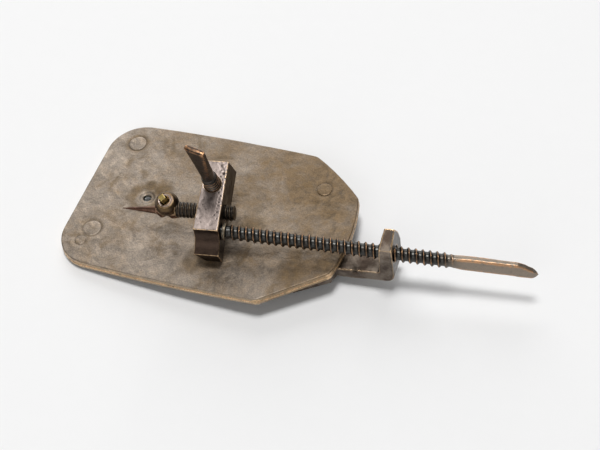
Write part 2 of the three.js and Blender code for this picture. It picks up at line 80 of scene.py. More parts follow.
PLATES = plates_place()
PIVOT = (37.5, -4.1, 0)             # where the bracket turns under the plates
FOCUS_HOLE = (-2.03, 6.78, 0)       # in the block's frame
ROD_HOLE = (0, 3.18, -0.25)
BRACKET = PLATES @ shifted(*PIVOT) @ turned("Z", 7.0)
AXIS = PLATES @ shifted(28.63, -6.89, 4.6) @ turned("Z", 9.2) @ turned("Y", 6.37)
BLOCK = AXIS @ turned("Y", -4.9) @ turned("X", 17.9)
FOCUS = BLOCK @ shifted(*FOCUS_HOLE)
ROD = BLOCK @ shifted(*ROD_HOLE)
BALL = Vector((-9.65, 0.65, 0.5))   # the ball head's middle, in the rod's frame

LEG_CLEARANCE = 0.04                # between the plates, the bracket's palm and the pivot's head
LEG_THICKNESS = 2.0

RIVETS = (
    # node, x, y, head radius, rise above the face
    ("rivet_far_lens_end", 4.8, 11.06, 1.55, 0.10),
    ("rivet_near_lens_end", 4.8, -8.3, 1.6, 0.09),
    ("rivet_small_lens_end", 4.0, -11.1, 0.95, 0.14),
    ("rivet_far_handle_end", 40.2, 8.6, 1.3, 0.08),
)


# ---------------------------------------------------------------- sizes and colours

def length(label, value_mm, description):
    return FloatProperty(
        name=label, description=description, default=value_mm * MM, min=0.0,
        unit="LENGTH", precision=5,
    )


def colour(label, red, green, blue, description):
    """A colour from its 0 to 255 screen values, all above 10."""
    linear = [((c / 255 + 0.055) / 1.055) ** 2.4 for c in (red, green, blue)]
    return FloatVectorProperty(
        name=label, description=description, default=linear, size=3, min=0.0, max=1.0,
        subtype="COLOR",
    )


class PlateSizes(bpy.types.PropertyGroup):
    length: length("Length", 47.4, "Lens end to the furthest point of the handle end")
    half_width: length("Half width", 15.3, "Middle line to the long edge")
    side_bow: length("Side bow", 0.35, "How far the long edges are filed outwards")
    corner_radius: length("Corner radius", 6.3, "Radius of the two lens-end corners")
    shoulder: length("Shoulder", 36.7, "Lens end to the start of the angled corners")
    thickness: length("Thickness", 0.72, "Thickness of one plate")
    gap: length("Seam", 0.03, "Gap between the plates")
    edge_round: length("Edge rounding", 0.2, "Radius worn on the outer edges")
    dish_radius: length("Dish radius", 3.3, "Radius of the hammered dish round the lens")
    dish_depth: length("Dish depth", 0.17, "Depth of the dish at the aperture")
    aperture: length("Aperture", 0.68, "Radius of the opening over the lens")
    hammering: length("Hammering", 0.055, "Depth of the hammer's broad marks")


class LongScrewSizes(bpy.types.PropertyGroup):
    crest: length("Crest radius", 1.27, "Radius over the thread's crests")
    root: length("Root radius", 0.95, "Radius in the thread's valleys")
    pitch: length("Pitch", 1.125, "Distance from crest to crest")
    journal: length("Journal radius", 0.85, "Radius of the plain end in the stage block")
    thread_end: length("Thread end", 36.4, "Stage block to the start of the thumb blade")
    blade_length: length("Blade length", 13.6, "Length of the flattened thumb blade")
    blade_height: length("Blade height", 2.8, "Height of the thumb blade")
    blade_thickness: length("Blade thickness", 1.1, "Thickness of the thumb blade")


class BlockSizes(bpy.types.PropertyGroup):
    width: length("Width", 4.06, "Width at the toe")
    width_far: length("Far width", 3.76, "Width at the far end")
    length: length("Length", 11.8, "Length of the top face")
    height: length("Height", 6.05, "Height at the toe")
    far_slant: length("Far slant", 0.75, "How far the far face leans out towards its foot")
    toe: length("Toe", 3.14, "Reach of the toe past the top face")
    lip: length("Lip depth", 3.15, "Top face down to the toe's lip")


class BracketSizes(bpy.types.PropertyGroup):
    half_width: length("Leg half width", 2.45, "Half the width of the leg and upright")
    thickness: length("Leg thickness", LEG_THICKNESS, "Thickness of the palm and leg")
    upright: length("Upright place", 15.85, "Pivot to the upright's inner face")
    upright_thickness: length("Upright thickness", 2.35, "Thickness of the upright at its foot")
    apex: length("Apex height", 6.7, "Top of the upright above the specimen face")
    bend: length("Bend radius", 1.3, "Outside radius of the bend")


class FocusSizes(bpy.types.PropertyGroup):
    crest: length("Crest radius", 1.3, "Radius over the thread's crests")
    root: length("Root radius", 1.05, "Radius in the thread's valleys")
    pitch: length("Pitch", 0.75, "Distance from crest to crest")
    tip: length("Tip depth", 4.1, "Stage block's middle down to the screw's tip")
    thread_top: length("Thread top", 5.9, "Stage block's middle up to the end of the thread")
    top: length("Top", 16.1, "Stage block's middle up to the end of the thumb blade")
    blade_width: length("Blade width", 3.4, "Width of the thumb blade")
    blade_thickness: length("Blade thickness", 0.95, "Thickness of the thumb blade")


class HolderSizes(bpy.types.PropertyGroup):
    crest: length("Rod radius", 1.3, "Radius over the rod's thread")
    root: length("Rod root radius", 1.16, "Radius in the rod's thread")
    pitch: length("Rod pitch", 0.6, "Distance from crest to crest")
    overhang: length("Rod overhang", 1.6, "Rod past the stage block's handle side")
    ball: length("Ball radius", 1.97, "Radius of the ball head")
    ball_flat: length("Ball flat", 1.42, "Ball's middle up to its filed flat")
    peg: length("Peg width", 0.95, "Width across the square clamp peg")
    needle: length("Needle length", 9.6, "Length of the needle with its butt")


class FinishColours(bpy.types.PropertyGroup):
    plate: colour("Plate grey", 140, 128, 115, "Rubbed faces of the plates")
    plate_dark: colour("Plate brown", 106, 86, 60, "Tarnished areas of the plates")
    # golden brown of the staining, also used to paint the reflection of the block's toe on the
    # plate
    stain_and_reflection_gold: colour("Stain", 92, 70, 34, "Golden brown stains on the plates")
    edge: colour("Worn edge", 222, 188, 146, "Bright metal on worn edges")
    bronze: colour("Dark bronze", 66, 52, 43, "Sides of the block and bracket")
    rubbed: colour("Rubbed bronze", 150, 136, 129, "Rubbed silvery top of the block")
    gunmetal: colour("Gunmetal", 66, 66, 64, "Blue-black screws")
    crest: colour("Thread crest", 206, 156, 112, "Bright crests of the threads")
    brass: colour("Brass", 232, 204, 128, "Filed brass peg")
    copper: colour("Copper", 100, 72, 60, "Needle")
    collar: colour("Collar grey", 92, 90, 82, "Grey collar")
    floor: colour("Floor", 238, 238, 238, "Pale floor")


POINTERS = {
    "microscope_plates": PlateSizes,
    "microscope_screw": LongScrewSizes,
    "microscope_block": BlockSizes,
    "microscope_bracket": BracketSizes,
    "microscope_focus": FocusSizes,
    "microscope_holder": HolderSizes,
    "microscope_finish": FinishColours,
}


class Millimetres:
    """Reads a group of lengths in millimetres."""

    def __init__(self, group):
        self.group = group

    def __getattr__(self, key):
        return getattr(self.group, key) / MM


# ---------------------------------------------------------------- small maths

def smoothstep(low, high, value):
    t = min(1.0, max(0.0, (value - low) / (high - low)))
    return t * t * (3 - 2 * t)


def lerp(a, b, t):
    return a + (b - a) * t


def wander(x, y, z, size, seed=0.0):
    """Smooth noise from -1 to 1 whose lumps are about size across."""
    return noise.noise(Vector((x / size + seed, y / size - seed, z / size + 0.37 * seed)))


def along_path(stations, place):
    """The value at one place on a list of (place, value) stations."""
    for (a, low), (b, high) in zip(stations, stations[1:]):
        if place <= b:
            return lerp(low, high, max(0.0, (place - a) / (b - a)))
    return stations[-1][1]


# ---------------------------------------------------------------- mesh work

def lofted(around, along, place):
    """A closed skin: a grid wrapped round an axis, with place(u, v) from 0 to 1 each way."""
    bm = bmesh.new()
    bmesh.ops.create_grid(bm, x_segments=around, y_segments=along, size=0.5)
    for vert in bm.verts:
        vert.co = place(vert.co.x + 0.5, vert.co.y + 0.5)
    bmesh.ops.remove_doubles(bm, verts=bm.verts, dist=2e-4)
    bmesh.ops.recalc_face_normals(bm, faces=bm.faces)
    return bm


def lofted_rows(around, stations, place):
    """A closed skin from place(angle, row, s), with one ring of points for each station s."""
    last = len(stations) - 1

    def spot(u, v):
        row = round(v * last)
        return place(u * math.tau, row, stations[row])
    return lofted(around, last, spot)


def spun(profile, steps):
    """A turned shape about z from (radius, z) pairs on a closed or pole-to-pole profile."""
    bm = bmesh.new()
    verts = [bm.verts.new((radius, 0, z)) for radius, z in profile]
    for a, b in zip(verts, verts[1:]):
        bm.edges.new((a, b))
    bmesh.ops.spin(
        bm, geom=bm.verts[:] + bm.edges[:], cent=(0, 0, 0), axis=(0, 0, 1),
        angle=math.tau, steps=steps, use_merge=True, use_duplicate=False,
    )
    bmesh.ops.remove_doubles(bm, verts=bm.verts, dist=2e-4)
    bmesh.ops.recalc_face_normals(bm, faces=bm.faces)
    return bm


def extruded(outline, axis, start, end):
    """A prism: a closed outline pushed along one axis from start to end."""
    bm = bmesh.new()
    place = {
        "X": lambda u, v: (start, u, v),
        "Y": lambda u, v: (u, start, v),
        "Z": lambda u, v: (u, v, start),
    }[axis]
    face = bm.faces.new([bm.verts.new(place(u, v)) for u, v in outline])
    made = bmesh.ops.extrude_face_region(bm, geom=[face])
    step = Vector([end - start if axis == name else 0 for name in "XYZ"])
    moved = [item for item in made["geom"] if isinstance(item, bmesh.types.BMVert)]
    bmesh.ops.translate(bm, verts=moved, vec=step)
    bmesh.ops.recalc_face_normals(bm, faces=bm.faces)
    return bm


def bar(radius, start, end, place):
    """A round cutter along x in the given frame."""
    bm = bmesh.new()
    bmesh.ops.create_cone(
        bm, cap_ends=True, segments=48, radius1=radius, radius2=radius, depth=end - start
    )
    turn = place @ shifted((start + end) / 2, 0, 0) @ turned("Y", 90)
    bmesh.ops.transform(bm, matrix=turn, verts=bm.verts)
    return bm


def sliced(bm, point, normal):
    """Files a flat: what lies beyond the plane goes, and the cut is closed."""
    cut = bmesh.ops.bisect_plane(
        bm, geom=bm.verts[:] + bm.edges[:] + bm.faces[:], plane_co=point, plane_no=normal,
        dist=1e-5, clear_outer=True,
    )
    edges = [item for item in cut["geom_cut"] if isinstance(item, bmesh.types.BMEdge)]
    if edges:
        bmesh.ops.contextual_create(bm, geom=edges)
    return bm


def workpiece(bm):
    """A shape as an object of its own, for modifiers to work on."""
    mesh = bpy.data.meshes.new("workpiece")
    bm.to_mesh(mesh)
    bm.free()
    made = bpy.data.objects.new("workpiece", mesh)
    bpy.context.scene.collection.objects.link(made)
    return made


def scrapped(item):
    mesh = item.data
    bpy.data.objects.remove(item)
    bpy.data.meshes.remove(mesh)


def through_modifiers(bm, steps):
    """Runs modifiers over a shape and gives the result back as a bmesh."""
    work = workpiece(bm)
    for kind, settings in steps:
        modifier = work.modifiers.new(kind.title(), kind)
        for key, value in settings.items():
            setattr(modifier, key, value)
    bpy.context.view_layer.update()
    result = bmesh.new()
    result.from_object(work, bpy.context.evaluated_depsgraph_get())
    scrapped(work)
    return result


def drilled(bm, cutters):
    """Cuts each cutter out of the shape."""
    tools = [workpiece(cutter) for cutter in cutters]
    cut = {"operation": "DIFFERENCE", "solver": "EXACT"}
    result = through_modifiers(bm, [("BOOLEAN", {**cut, "object": tool}) for tool in tools])
    for tool in tools:
        scrapped(tool)
    return result


def joined(*shapes):
    """Puts several closed shapes into one."""
    base = shapes[0]
    for shape in shapes[1:]:
        mesh = bpy.data.meshes.new("joining")
        shape.to_mesh(mesh)
        shape.free()
        base.from_mesh(mesh)
        bpy.data.meshes.remove(mesh)
    return base


def hand_worn(bm, grain, passes, factor=0.5):
    """Fuses a shape into one fine skin and softens its edges, as years of handling do."""
    result = through_modifiers(bm, [
        ("REMESH", {"mode": "VOXEL", "voxel_size": grain, "adaptivity": 0.0}),
        ("SMOOTH", {"factor": factor, "iterations": passes}),
    ])
    bmesh.ops.recalc_face_normals(result, faces=result.faces)
    return result


def dented(bm, depth_at):
    """Moves every point along its normal by depth_at(point, normal)."""
    bm.normal_update()
    moves = [(vert, vert.normal * depth_at(vert.co, vert.normal)) for vert in bm.verts]
    for vert, move in moves:
        vert.co += move
    return bm


def relief(co, normal, ends, passes):
    """How far each point stands proud of its smoothed surroundings."""
    a, b = ends
    count = len(co)
    degree = np.maximum(np.bincount(a, minlength=count) + np.bincount(b, minlength=count), 1)
    soft = co.copy()
    for _ in range(passes):
        total = np.stack([
            np.bincount(a, soft[b, k], count) + np.bincount(b, soft[a, k], count) for k in range(3)
        ], axis=1)
        soft = 0.5 * soft + 0.5 * total / degree[:, None]
    return ((co - soft) * normal).sum(axis=1)


def mark_edge_and_hollow(mesh, passes, reach):
    """Writes the attributes edge, for worn edges, and hollow, for painted shade in the hollows,
    both from 0 to 1; reach is the relief of a full 1.
    """
    count = len(mesh.vertices)
    co = np.empty(count * 3)
    mesh.vertices.foreach_get("co", co)
    normal = np.empty(count * 3)
    mesh.vertices.foreach_get("normal", normal)
    ends = np.empty(len(mesh.edges) * 2, np.int32)
    mesh.edges.foreach_get("vertices", ends)
    proud = relief(co.reshape(-1, 3), normal.reshape(-1, 3), ends.reshape(-1, 2).T, passes) / reach
    for name, values in (("edge", proud), ("hollow", -proud)):
        attribute = mesh.attributes.new(name, "FLOAT", "POINT")
        attribute.data.foreach_set("value", np.clip(values, 0, 1).astype(np.float32))


def finished(name, bm, place, body, node, material, wear_and_shade, masks=None):
    """Sets a shape in its place, marks its worn edges and its hollows for painted shade, and hands
    it to the frame in a node's stead.

    The edge and hollow marks take the smoothing passes and the reach as one pair; masks are rules
    for attributes.
    """
    mesh = bpy.data.meshes.new(name)
    own = {key: [rule(vert.co) for vert in bm.verts] for key, rule in (masks or {}).items()}
    bmesh.ops.triangulate(bm, faces=[face for face in bm.faces if len(face.verts) > 4])
    bm.to_mesh(mesh)
    bm.free()
    for key, values in own.items():
        mesh.attributes.new(key, "FLOAT", "POINT").data.foreach_set("value", values)
    mark_edge_and_hollow(mesh, *wear_and_shade)
    mesh.transform(Matrix.Scale(MM, 4) @ place)
    mesh.shade_smooth()
    mesh.materials.append(material)
    made = bpy.data.objects.new(name, mesh)
    bpy.context.scene.collection.objects.link(made)
    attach(made, body)
    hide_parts(node)
    return made


# ---------------------------------------------------------------- shader work

class Wire:
    """One shader socket. Arithmetic on it adds Math nodes."""

    def __init__(self, finish, socket):
        self.finish = finish
        self.socket = socket

    def _math(self, operation, first, second=0.0, clamp=False):
        return self.finish.node(
            "ShaderNodeMath", {"operation": operation, "use_clamp": clamp}, {0: first, 1: second}
        )

    def __add__(self, other):
        return self._math("ADD", self, other)

    __radd__ = __add__

    def __sub__(self, other):
        return self._math("SUBTRACT", self, other)

    def __rsub__(self, other):
        return self._math("SUBTRACT", other, self)

    def __mul__(self, other):
        return self._math("MULTIPLY", self, other)

    __rmul__ = __mul__

    def clamped(self):
        return self._math("ADD", self, 0.0, clamp=True)

    def most(self, other):
        return self._math("MAXIMUM", self, other)

    def between(self, low, high, start=0.0, end=1.0):
        """A smooth step from start to end as the value goes from low to high."""
        return self.finish.node(
            "ShaderNodeMapRange", {"interpolation_type": "SMOOTHSTEP"},
            {"Value": self, "From Min": low, "From Max": high, "To Min": start, "To Max": end},
        )


class Finish:
    """A material under construction."""

    def __init__(self, name):
        self.material = bpy.data.materials.new(name)
        self.material.use_nodes = True
        self.tree = self.material.node_tree
        self.tree.nodes.clear()
        self.places = self.node("ShaderNodeTexCoord", out="Object")

    def node(self, kind, settings=None, inputs=None, out=0):
        """Adds a node: its settings first, then the values or links of its sockets."""
        made = self.tree.nodes.new(kind)
        for key, value in (settings or {}).items():
            setattr(made, key, value)
        for key, value in (inputs or {}).items():
            if isinstance(value, Wire):
                self.tree.links.new(value.socket, made.inputs[key])
            else:
                made.inputs[key].default_value = value
        return Wire(self, made.outputs[out])

    def noise(self, size, detail=3.0, roughness=0.55, distortion=0.0):
        """Noise from 0 to 1 whose lumps are size millimetres across."""
        return self.node("ShaderNodeTexNoise", None, {
            "Vector": self.places, "Scale": 1 / (size * MM), "Detail": detail,
            "Roughness": roughness, "Distortion": distortion,
        })

    def streaks(self, place, sizes, detail=2.0):
        """Noise in a piece's own frame, with its own size in mm along each axis."""
        turn = place.to_3x3().normalized().transposed().to_euler()
        own = self.node("ShaderNodeMapping", {"vector_type": "POINT"}, {
            "Vector": self.places, "Rotation": turn,
        })
        stretched = self.node("ShaderNodeVectorMath", {"operation": "DIVIDE"}, {
            0: own, 1: [size * MM for size in sizes],
        })
        return self.node("ShaderNodeTexNoise", None, {
            "Vector": stretched, "Scale": 1.0, "Detail": detail,
        })

    def attribute(self, name):
        return self.node("ShaderNodeAttribute", {"attribute_name": name}, None, "Fac")

    def near(self, place, point, inner, outer):
        """1 near a point of a piece's frame, fading to 0 between two distances in mm."""
        target = Matrix.Scale(MM, 4) @ place @ Vector(point)
        away = self.node("ShaderNodeVectorMath", {"operation": "DISTANCE"}, {
            0: self.places, 1: target.to_3d(),
        }, "Value")
        wobble = (self.noise(1.6, 2.0) - 0.5) * (1.1 * (outer - inner) * MM)
        return (away + wobble).between(inner * MM, outer * MM, 1.0, 0.0)

    def along(self, place, direction):
        """How far along a direction of one piece's frame a point lies."""
        heading = (place.to_3x3() @ Vector(direction)).normalized()
        origin = place.translation * MM
        far = self.node("ShaderNodeVectorMath", {"operation": "DOT_PRODUCT"}, {
            0: self.places, 1: heading,
        }, "Value")
        return far - origin.dot(heading)

    def mixed(self, first, second, share):
        """One colour going over to another as share goes from 0 to 1."""
        def solid(value):
            return value if isinstance(value, Wire) else (*value[:3], 1.0)
        return self.node("ShaderNodeMix", {"data_type": "RGBA"}, {
            0: share, 6: solid(first), 7: solid(second),
        }, 2)

    def shaded(self, tint, amount):
        """A colour made darker or lighter by a number round 1."""
        return self.node("ShaderNodeVectorMath", {"operation": "SCALE"}, {0: tint, "Scale": amount})

    def painted_hollow_shade(self, tint, amount):
        """A colour made darker in the hollows: painted shade."""
        return self.shaded(tint, 1.0 - self.attribute("hollow") * amount)

    def done(self, tint, roughness, metallic=0.9, bumps=(), **uniform):
        """Closes the material. Each bump is (height, depth in mm, strength)."""
        normal = None
        for height, depth, strength in bumps:
            inputs = {"Height": height, "Distance": depth * MM, "Strength": strength}
            if normal:
                inputs["Normal"] = normal
            normal = self.node("ShaderNodeBump", None, inputs)
        inputs = {"Base Color": tint, "Roughness": roughness, "Metallic": metallic, **uniform}
        if normal:
            inputs["Normal"] = normal
        shader = self.node("ShaderNodeBsdfPrincipled", None, inputs)
        surface = self.tree.nodes.new("ShaderNodeOutputMaterial").inputs["Surface"]
        self.tree.links.new(shader.socket, surface)
        return self.material


def plate_bronze(name, stains_and_toe_reflection):
    """Rubbed bronze: mottled grey-brown, golden staining, bright rims, painted shade in the hollows
    and a painted sheen at the lens end.
    """
    tints = bpy.context.scene.microscope_finish
    f = Finish(name)
    broad = f.noise(7.0, 5.0, 0.6, 0.6)
    middle = f.noise(1.6, 5.0, 0.65, 0.5)
    speck = f.noise(0.22, 3.0, 0.6)
    handle = f.along(PLATES, (0.75, 0.65, 0.0)).between(5.0 * MM, 42.0 * MM)
    brown = (broad * 0.5 + middle * 0.3 + handle * 0.2).between(0.32, 0.66)
    tint = f.mixed(tints.plate, tints.plate_dark, brown)
    staining_and_reflection = f.noise(4.5, 4.0, 0.65, 1.0).between(0.48, 0.72) * 0.6
    # the listed patches are staining, except two that paint the reflection of the block's toe
    for point, inner, outer, share in stains_and_toe_reflection:
        staining_and_reflection = staining_and_reflection.most(f.near(PLATES, point, inner, outer) * share)
    ring = f.near(PLATES, LENS_CENTRE, 2.6, 3.9) - f.near(PLATES, LENS_CENTRE, 1.5, 2.4)
    staining_and_reflection = staining_and_reflection.most(ring.clamped() * 0.7)
    tint = f.mixed(tint, tints.stain_and_reflection_gold, staining_and_reflection.clamped())
    # painted shade: darker in the hollows
    tint = f.painted_hollow_shade(tint, 0.45)
    rim = f.attribute("rim")
    edge = f.attribute("edge") * (0.2 + rim * 0.8) * f.noise(0.9, 3.0).between(0.2, 0.6)
    edge = edge.between(0.1, 0.7)
    tint = f.mixed(tint, tints.edge, (edge * 0.7 + rim * 0.3).clamped())
    # painted sheen: lighter rub streaks, strongest towards the lens end, where the face catches the
    # light
    rubbed_sheen_streaks = f.streaks(PLATES @ turned("Z", -38), (2.6, 1.1, 2.0), 5.0).between(0.48, 0.78)
    lens_end = f.along(PLATES, (1.0, 0.2, 0.0)).between(2.0 * MM, 26.0 * MM, 1.0, 0.15)
    tint = f.shaded(tint, 1.0 + rubbed_sheen_streaks * lens_end * 0.6)
    tint = f.shaded(tint, speck.between(0.25, 0.75, 0.72, 1.28))
    tint = f.shaded(tint, middle.between(0.3, 0.7, 0.76, 1.2))
    rough = middle.between(0.3, 0.7, 0.32, 0.46) + staining_and_reflection * 0.06 - edge * 0.06
    scratches = f.streaks(PLATES @ turned("Z", 24), (5.0, 0.07, 5.0)).between(0.6, 0.75)
    scratches = scratches * f.noise(4.0, 2.0).between(0.5, 0.65)
    return f.done(tint, rough, 0.5 - staining_and_reflection * 0.1, (
        (f.noise(1.9, 4.0, 0.55, 0.4), 0.22, 0.6),
        (f.noise(0.4, 3.0, 0.6), 0.02, 0.6),
        (scratches * -1.0, 0.008, 0.45),
    ))


def block_bronze(name):
    """Dark bronze sides, a rubbed silvery top and gold edges."""
    tints = bpy.context.scene.microscope_finish
    f = Finish(name)
    cloudy = f.noise(1.6, 4.0, 0.6)
    speck = f.noise(0.13, 2.0)
    top = f.attribute("rubbed") * cloudy.between(0.2, 0.5, 0.65, 1.0)
    tint = f.mixed(tints.bronze, tints.rubbed, top.clamped())
    tint = f.shaded(tint, cloudy.between(0.3, 0.7, 0.72, 1.08))
    # painted shade: darker in the hollows
    tint = f.painted_hollow_shade(tint, 0.75)
    edge = (f.attribute("edge") * f.noise(0.45, 3.0, 0.7).between(0.2, 0.5)).between(0.3, 0.85)
    tint = f.mixed(tint, tints.edge, edge * (0.6 + f.attribute("rubbed") * 0.4))
    tint = f.shaded(tint, speck.between(0.3, 0.7, 0.88, 1.1))
    rough = cloudy.between(0.3, 0.7, 0.28, 0.42) + top * 0.06 - edge * 0.06
    strokes = f.streaks(BLOCK @ turned("Z", 68), (3.0, 0.05, 3.0)).between(0.55, 0.7)
    return f.done(tint, rough, 0.88 - top * 0.3, (
        (f.noise(0.5, 3.0), 0.03, 0.5),
        (strokes * -1.0, 0.005, 0.4),
    ))


def bracket_bronze(name):
    """Brown-grey bronze, lighter higher up as painted top light, with golden worn edges shown
    mostly there as a painted highlight, and a bluer back.
    """
    tints = bpy.context.scene.microscope_finish
    f = Finish(name)
    cloudy = f.noise(2.2, 4.0, 0.6)
    speck = f.noise(0.15, 2.0)
    tint = f.mixed(tints.bronze, tints.plate, cloudy.between(0.35, 0.65, 0.1, 0.8))
    tint = f.mixed(tint, tints.gunmetal, f.attribute("back") * 0.7)
    # painted shade: darker in the hollows
    tint = f.painted_hollow_shade(tint, 0.6)
    # painted top light: lighter higher up the bracket, and the worn gold edges shown mostly up
    # there as a painted highlight
    high = f.along(BRACKET, (0, 0, 1)).between(0.0, 5.0 * MM, 0.25, 1.0)
    edge = (f.attribute("edge") * f.noise(0.6, 3.0, 0.7).between(0.2, 0.5)).between(0.25, 0.8)
    tint = f.shaded(tint, high.between(0.3, 1.0, 0.8, 1.3))
    tint = f.mixed(tint, tints.edge, edge * high * 0.85)
    tint = f.shaded(tint, speck.between(0.3, 0.7, 0.88, 1.1))
    rough = cloudy.between(0.3, 0.7, 0.3, 0.42) - edge * 0.06
    return f.done(tint, rough, 0.88, (
        (f.noise(0.9, 3.0), 0.02, 0.4),
        (f.noise(0.2, 2.0), 0.008, 0.4),
    ))


def screw_metal(name, place, gold=0.7, grip_tint=None):
    """Blue-black screw metal: bright crests, valleys darkened as painted shade, a hand-worn grip.
    """
    tints = bpy.context.scene.microscope_finish
    f = Finish(name)
    cloudy = f.noise(1.1, 4.0, 0.6)
    speck = f.noise(0.12, 2.0)
    warm = f.mixed(tints.gunmetal, tints.bronze, cloudy.between(0.45, 0.75, 0.0, 0.5))
    grip = f.attribute("grip")
    tint = f.mixed(warm, grip_tint or tints.plate_dark, grip * cloudy.between(0.25, 0.5, 0.6, 1.0))
    # painted shade: darker in the hollows and thread valleys
    tint = f.painted_hollow_shade(tint, 0.5)
    edge = (f.attribute("edge") * f.noise(0.5, 3.0).between(0.2, 0.6)).between(0.15, 0.8) * grip
    edge = edge.most(f.attribute("crest") * f.noise(0.6, 4.0, 0.7).between(0.3, 0.65, 0.1, 0.95))
    tint = f.mixed(tint, tints.crest, edge * gold)
    tint = f.shaded(tint, speck.between(0.3, 0.7, 0.88, 1.12))
    rough = cloudy.between(0.3, 0.7, 0.3, 0.42) + grip * 0.05
    return f.done(tint, rough, 0.9, (
        (f.noise(0.3, 3.0), 0.012, 0.4),
        (f.streaks(place, (2.0, 0.1, 0.1)), 0.01, 0.25),
    ))


def plain_metal(name, own, dark, rough_low, rough_high, size, place):
    """One metal, cloudy and finely scored along x, darker in its hollows as painted shade."""
    tints = bpy.context.scene.microscope_finish
    f = Finish(name)
    cloudy = f.noise(size, 4.0, 0.6)
    tint = f.mixed(own, [c * dark for c in own], cloudy.between(0.35, 0.7))
    # painted shade: darker in the hollows
    tint = f.painted_hollow_shade(tint, 0.6)
    edge = f.attribute("edge").between(0.15, 0.8)
    tint = f.mixed(tint, tints.edge, edge * 0.25)
    rough = cloudy.between(0.3, 0.7, rough_low, rough_high)
    strokes = f.streaks(place, (1.5, 0.05, 0.05))
    return f.done(tint, rough, 0.92, ((f.noise(0.14, 2.0), 0.008, 0.4), (strokes, 0.006, 0.3)))


def ball_metal(name):
    """Bronze ball with a ring-turned silvery flat, on a darker threaded rod."""
    tints = bpy.context.scene.microscope_finish
    f = Finish(name)
    cloudy = f.noise(0.9, 4.0, 0.6)
    tint = f.mixed(tints.bronze, tints.plate_dark, cloudy.between(0.3, 0.65))
    top = f.attribute("rubbed")
    tint = f.mixed(tint, tints.rubbed, top * cloudy.between(0.2, 0.5, 0.6, 0.95))
    rod = f.attribute("thread")
    rod_tint = f.shaded(f.mixed(tints.gunmetal, tints.bronze, 0.4), 0.6)
    tint = f.mixed(tint, rod_tint, rod * 0.95)
    # painted shade: darker in the hollows
    tint = f.painted_hollow_shade(tint, 0.55)
    edge = (f.attribute("edge") * f.noise(0.4, 2.0).between(0.25, 0.6)).between(0.15, 0.8)
    tint = f.mixed(tint, tints.edge, edge * (0.6 - rod * 0.5))
    rough = cloudy.between(0.3, 0.7, 0.32, 0.44)
    return f.done(tint, rough, 0.9, ((f.noise(0.3, 3.0), 0.012, 0.4),))


def lens_glass(name):
    """Clear glass, a little smudged."""
    f = Finish(name)
    smudge = f.noise(0.6, 2.0)
    return f.done(
        (0.93, 0.97, 0.95, 1.0), smudge.between(0.3, 0.8, 0.03, 0.14), 0.0, (),
        **{"Transmission Weight": 1.0, "IOR": 1.51},
    )


def floor_card(name):
    """Pale matt card."""
    tints = bpy.context.scene.microscope_finish
    f = Finish(name)
    fibre = f.noise(3.0, 4.0)
    tint = f.mixed(tints.floor, [c * 0.985 for c in tints.floor], fibre)
    return f.done(tint, 0.85, 0.0, ((fibre, 0.05, 0.12),))


# ---------------------------------------------------------------- plates

def curve(start, control, end, count):
    """Points on a quadratic curve, without its end."""
    points = []
    for i in range(count):
        t = i / count
        shares = ((1 - t) ** 2, 2 * t * (1 - t), t * t)
        points.append([
            sum(share * p[k] for share, p in zip(shares, (start, control, end))) for k in (0, 1)
        ])
    return points


def arc(centre, radius, first, last, count):
    """Points on a circle between two angles in degrees, without its last."""
    angles = [math.radians(lerp(first, last, i / count)) for i in range(count)]
    return [[centre[0] + radius * math.cos(a), centre[1] + radius * math.sin(a)] for a in angles]


def plate_outline(sizes, count):
    """Evenly spaced points round the plate, with their outward normals."""
    half, r, shoulder = sizes.half_width, sizes.corner_radius, sizes.shoulder
    bow_x, bow_y = (r + shoulder) / 2, half + 2 * sizes.side_bow
    near, far = (46.45, -7.6), (46.35, 8.0)     # the handle end's two corners differ a little
    bluntings = 14
    path = arc((r, r - half), r, 180, 270, 160)
    path += curve((r, -half), (bow_x, -bow_y), (shoulder, -half), 240)
    path += curve((shoulder, -half), (41.6, -11.5), near, 120)
    path += curve(near, (2 * sizes.length - 46.4, 0.2), far, 160)
    path += curve(far, (42.05, 12.2), (shoulder, half), 120)
    path += curve((shoulder, half), (bow_x, bow_y), (r, half), 240)
    path += arc((r, half - r), r, 90, 180, 160)
    path += curve((0, half - r), (0, 0), (0, r - half), 160)
    points = np.array(path)
    for _ in range(bluntings):
        points = (np.roll(points, 1, 0) + 2 * points + np.roll(points, -1, 0)) / 4
    closed = np.vstack([points, points[:1]])
    run = np.concatenate([[0], np.cumsum(np.hypot(*np.diff(closed, axis=0).T))])
    steps = np.linspace(0, run[-1], count + 1)
    even = np.stack([np.interp(steps, run, closed[:, k]) for k in (0, 1)], axis=1)
    even[-1] = even[0]
    ahead = np.roll(even[:-1], -1, 0) - np.roll(even[:-1], 1, 0)
    ahead /= np.hypot(*ahead.T)[:, None]
    normal = np.stack([ahead[:, 1], -ahead[:, 0]], axis=1)
    return even, np.vstack([normal, normal[:1]])


def hammered(x, y, seed, depth):
    """Height of the worked face: broad hammer marks and a wrinkled patch at the handle end."""
    high = depth * wander(x, y, 0, 6.5, seed) + 0.35 * depth * wander(x, y, 0, 2.3, seed + 5)
    cells = noise.voronoi(Vector((x / 3.1 + seed, y / 3.1, seed)))[0]
    high -= 0.35 * depth * (1 - smoothstep(0.0, 0.55, cells[0]))
    wrinkled = smoothstep(34.0, 41.0, x) * smoothstep(-1.0, 5.0, y)
    high += 0.09 * wrinkled * (abs(wander(x, y, 0, 1.5, seed + 2)) - 0.3)
    return high


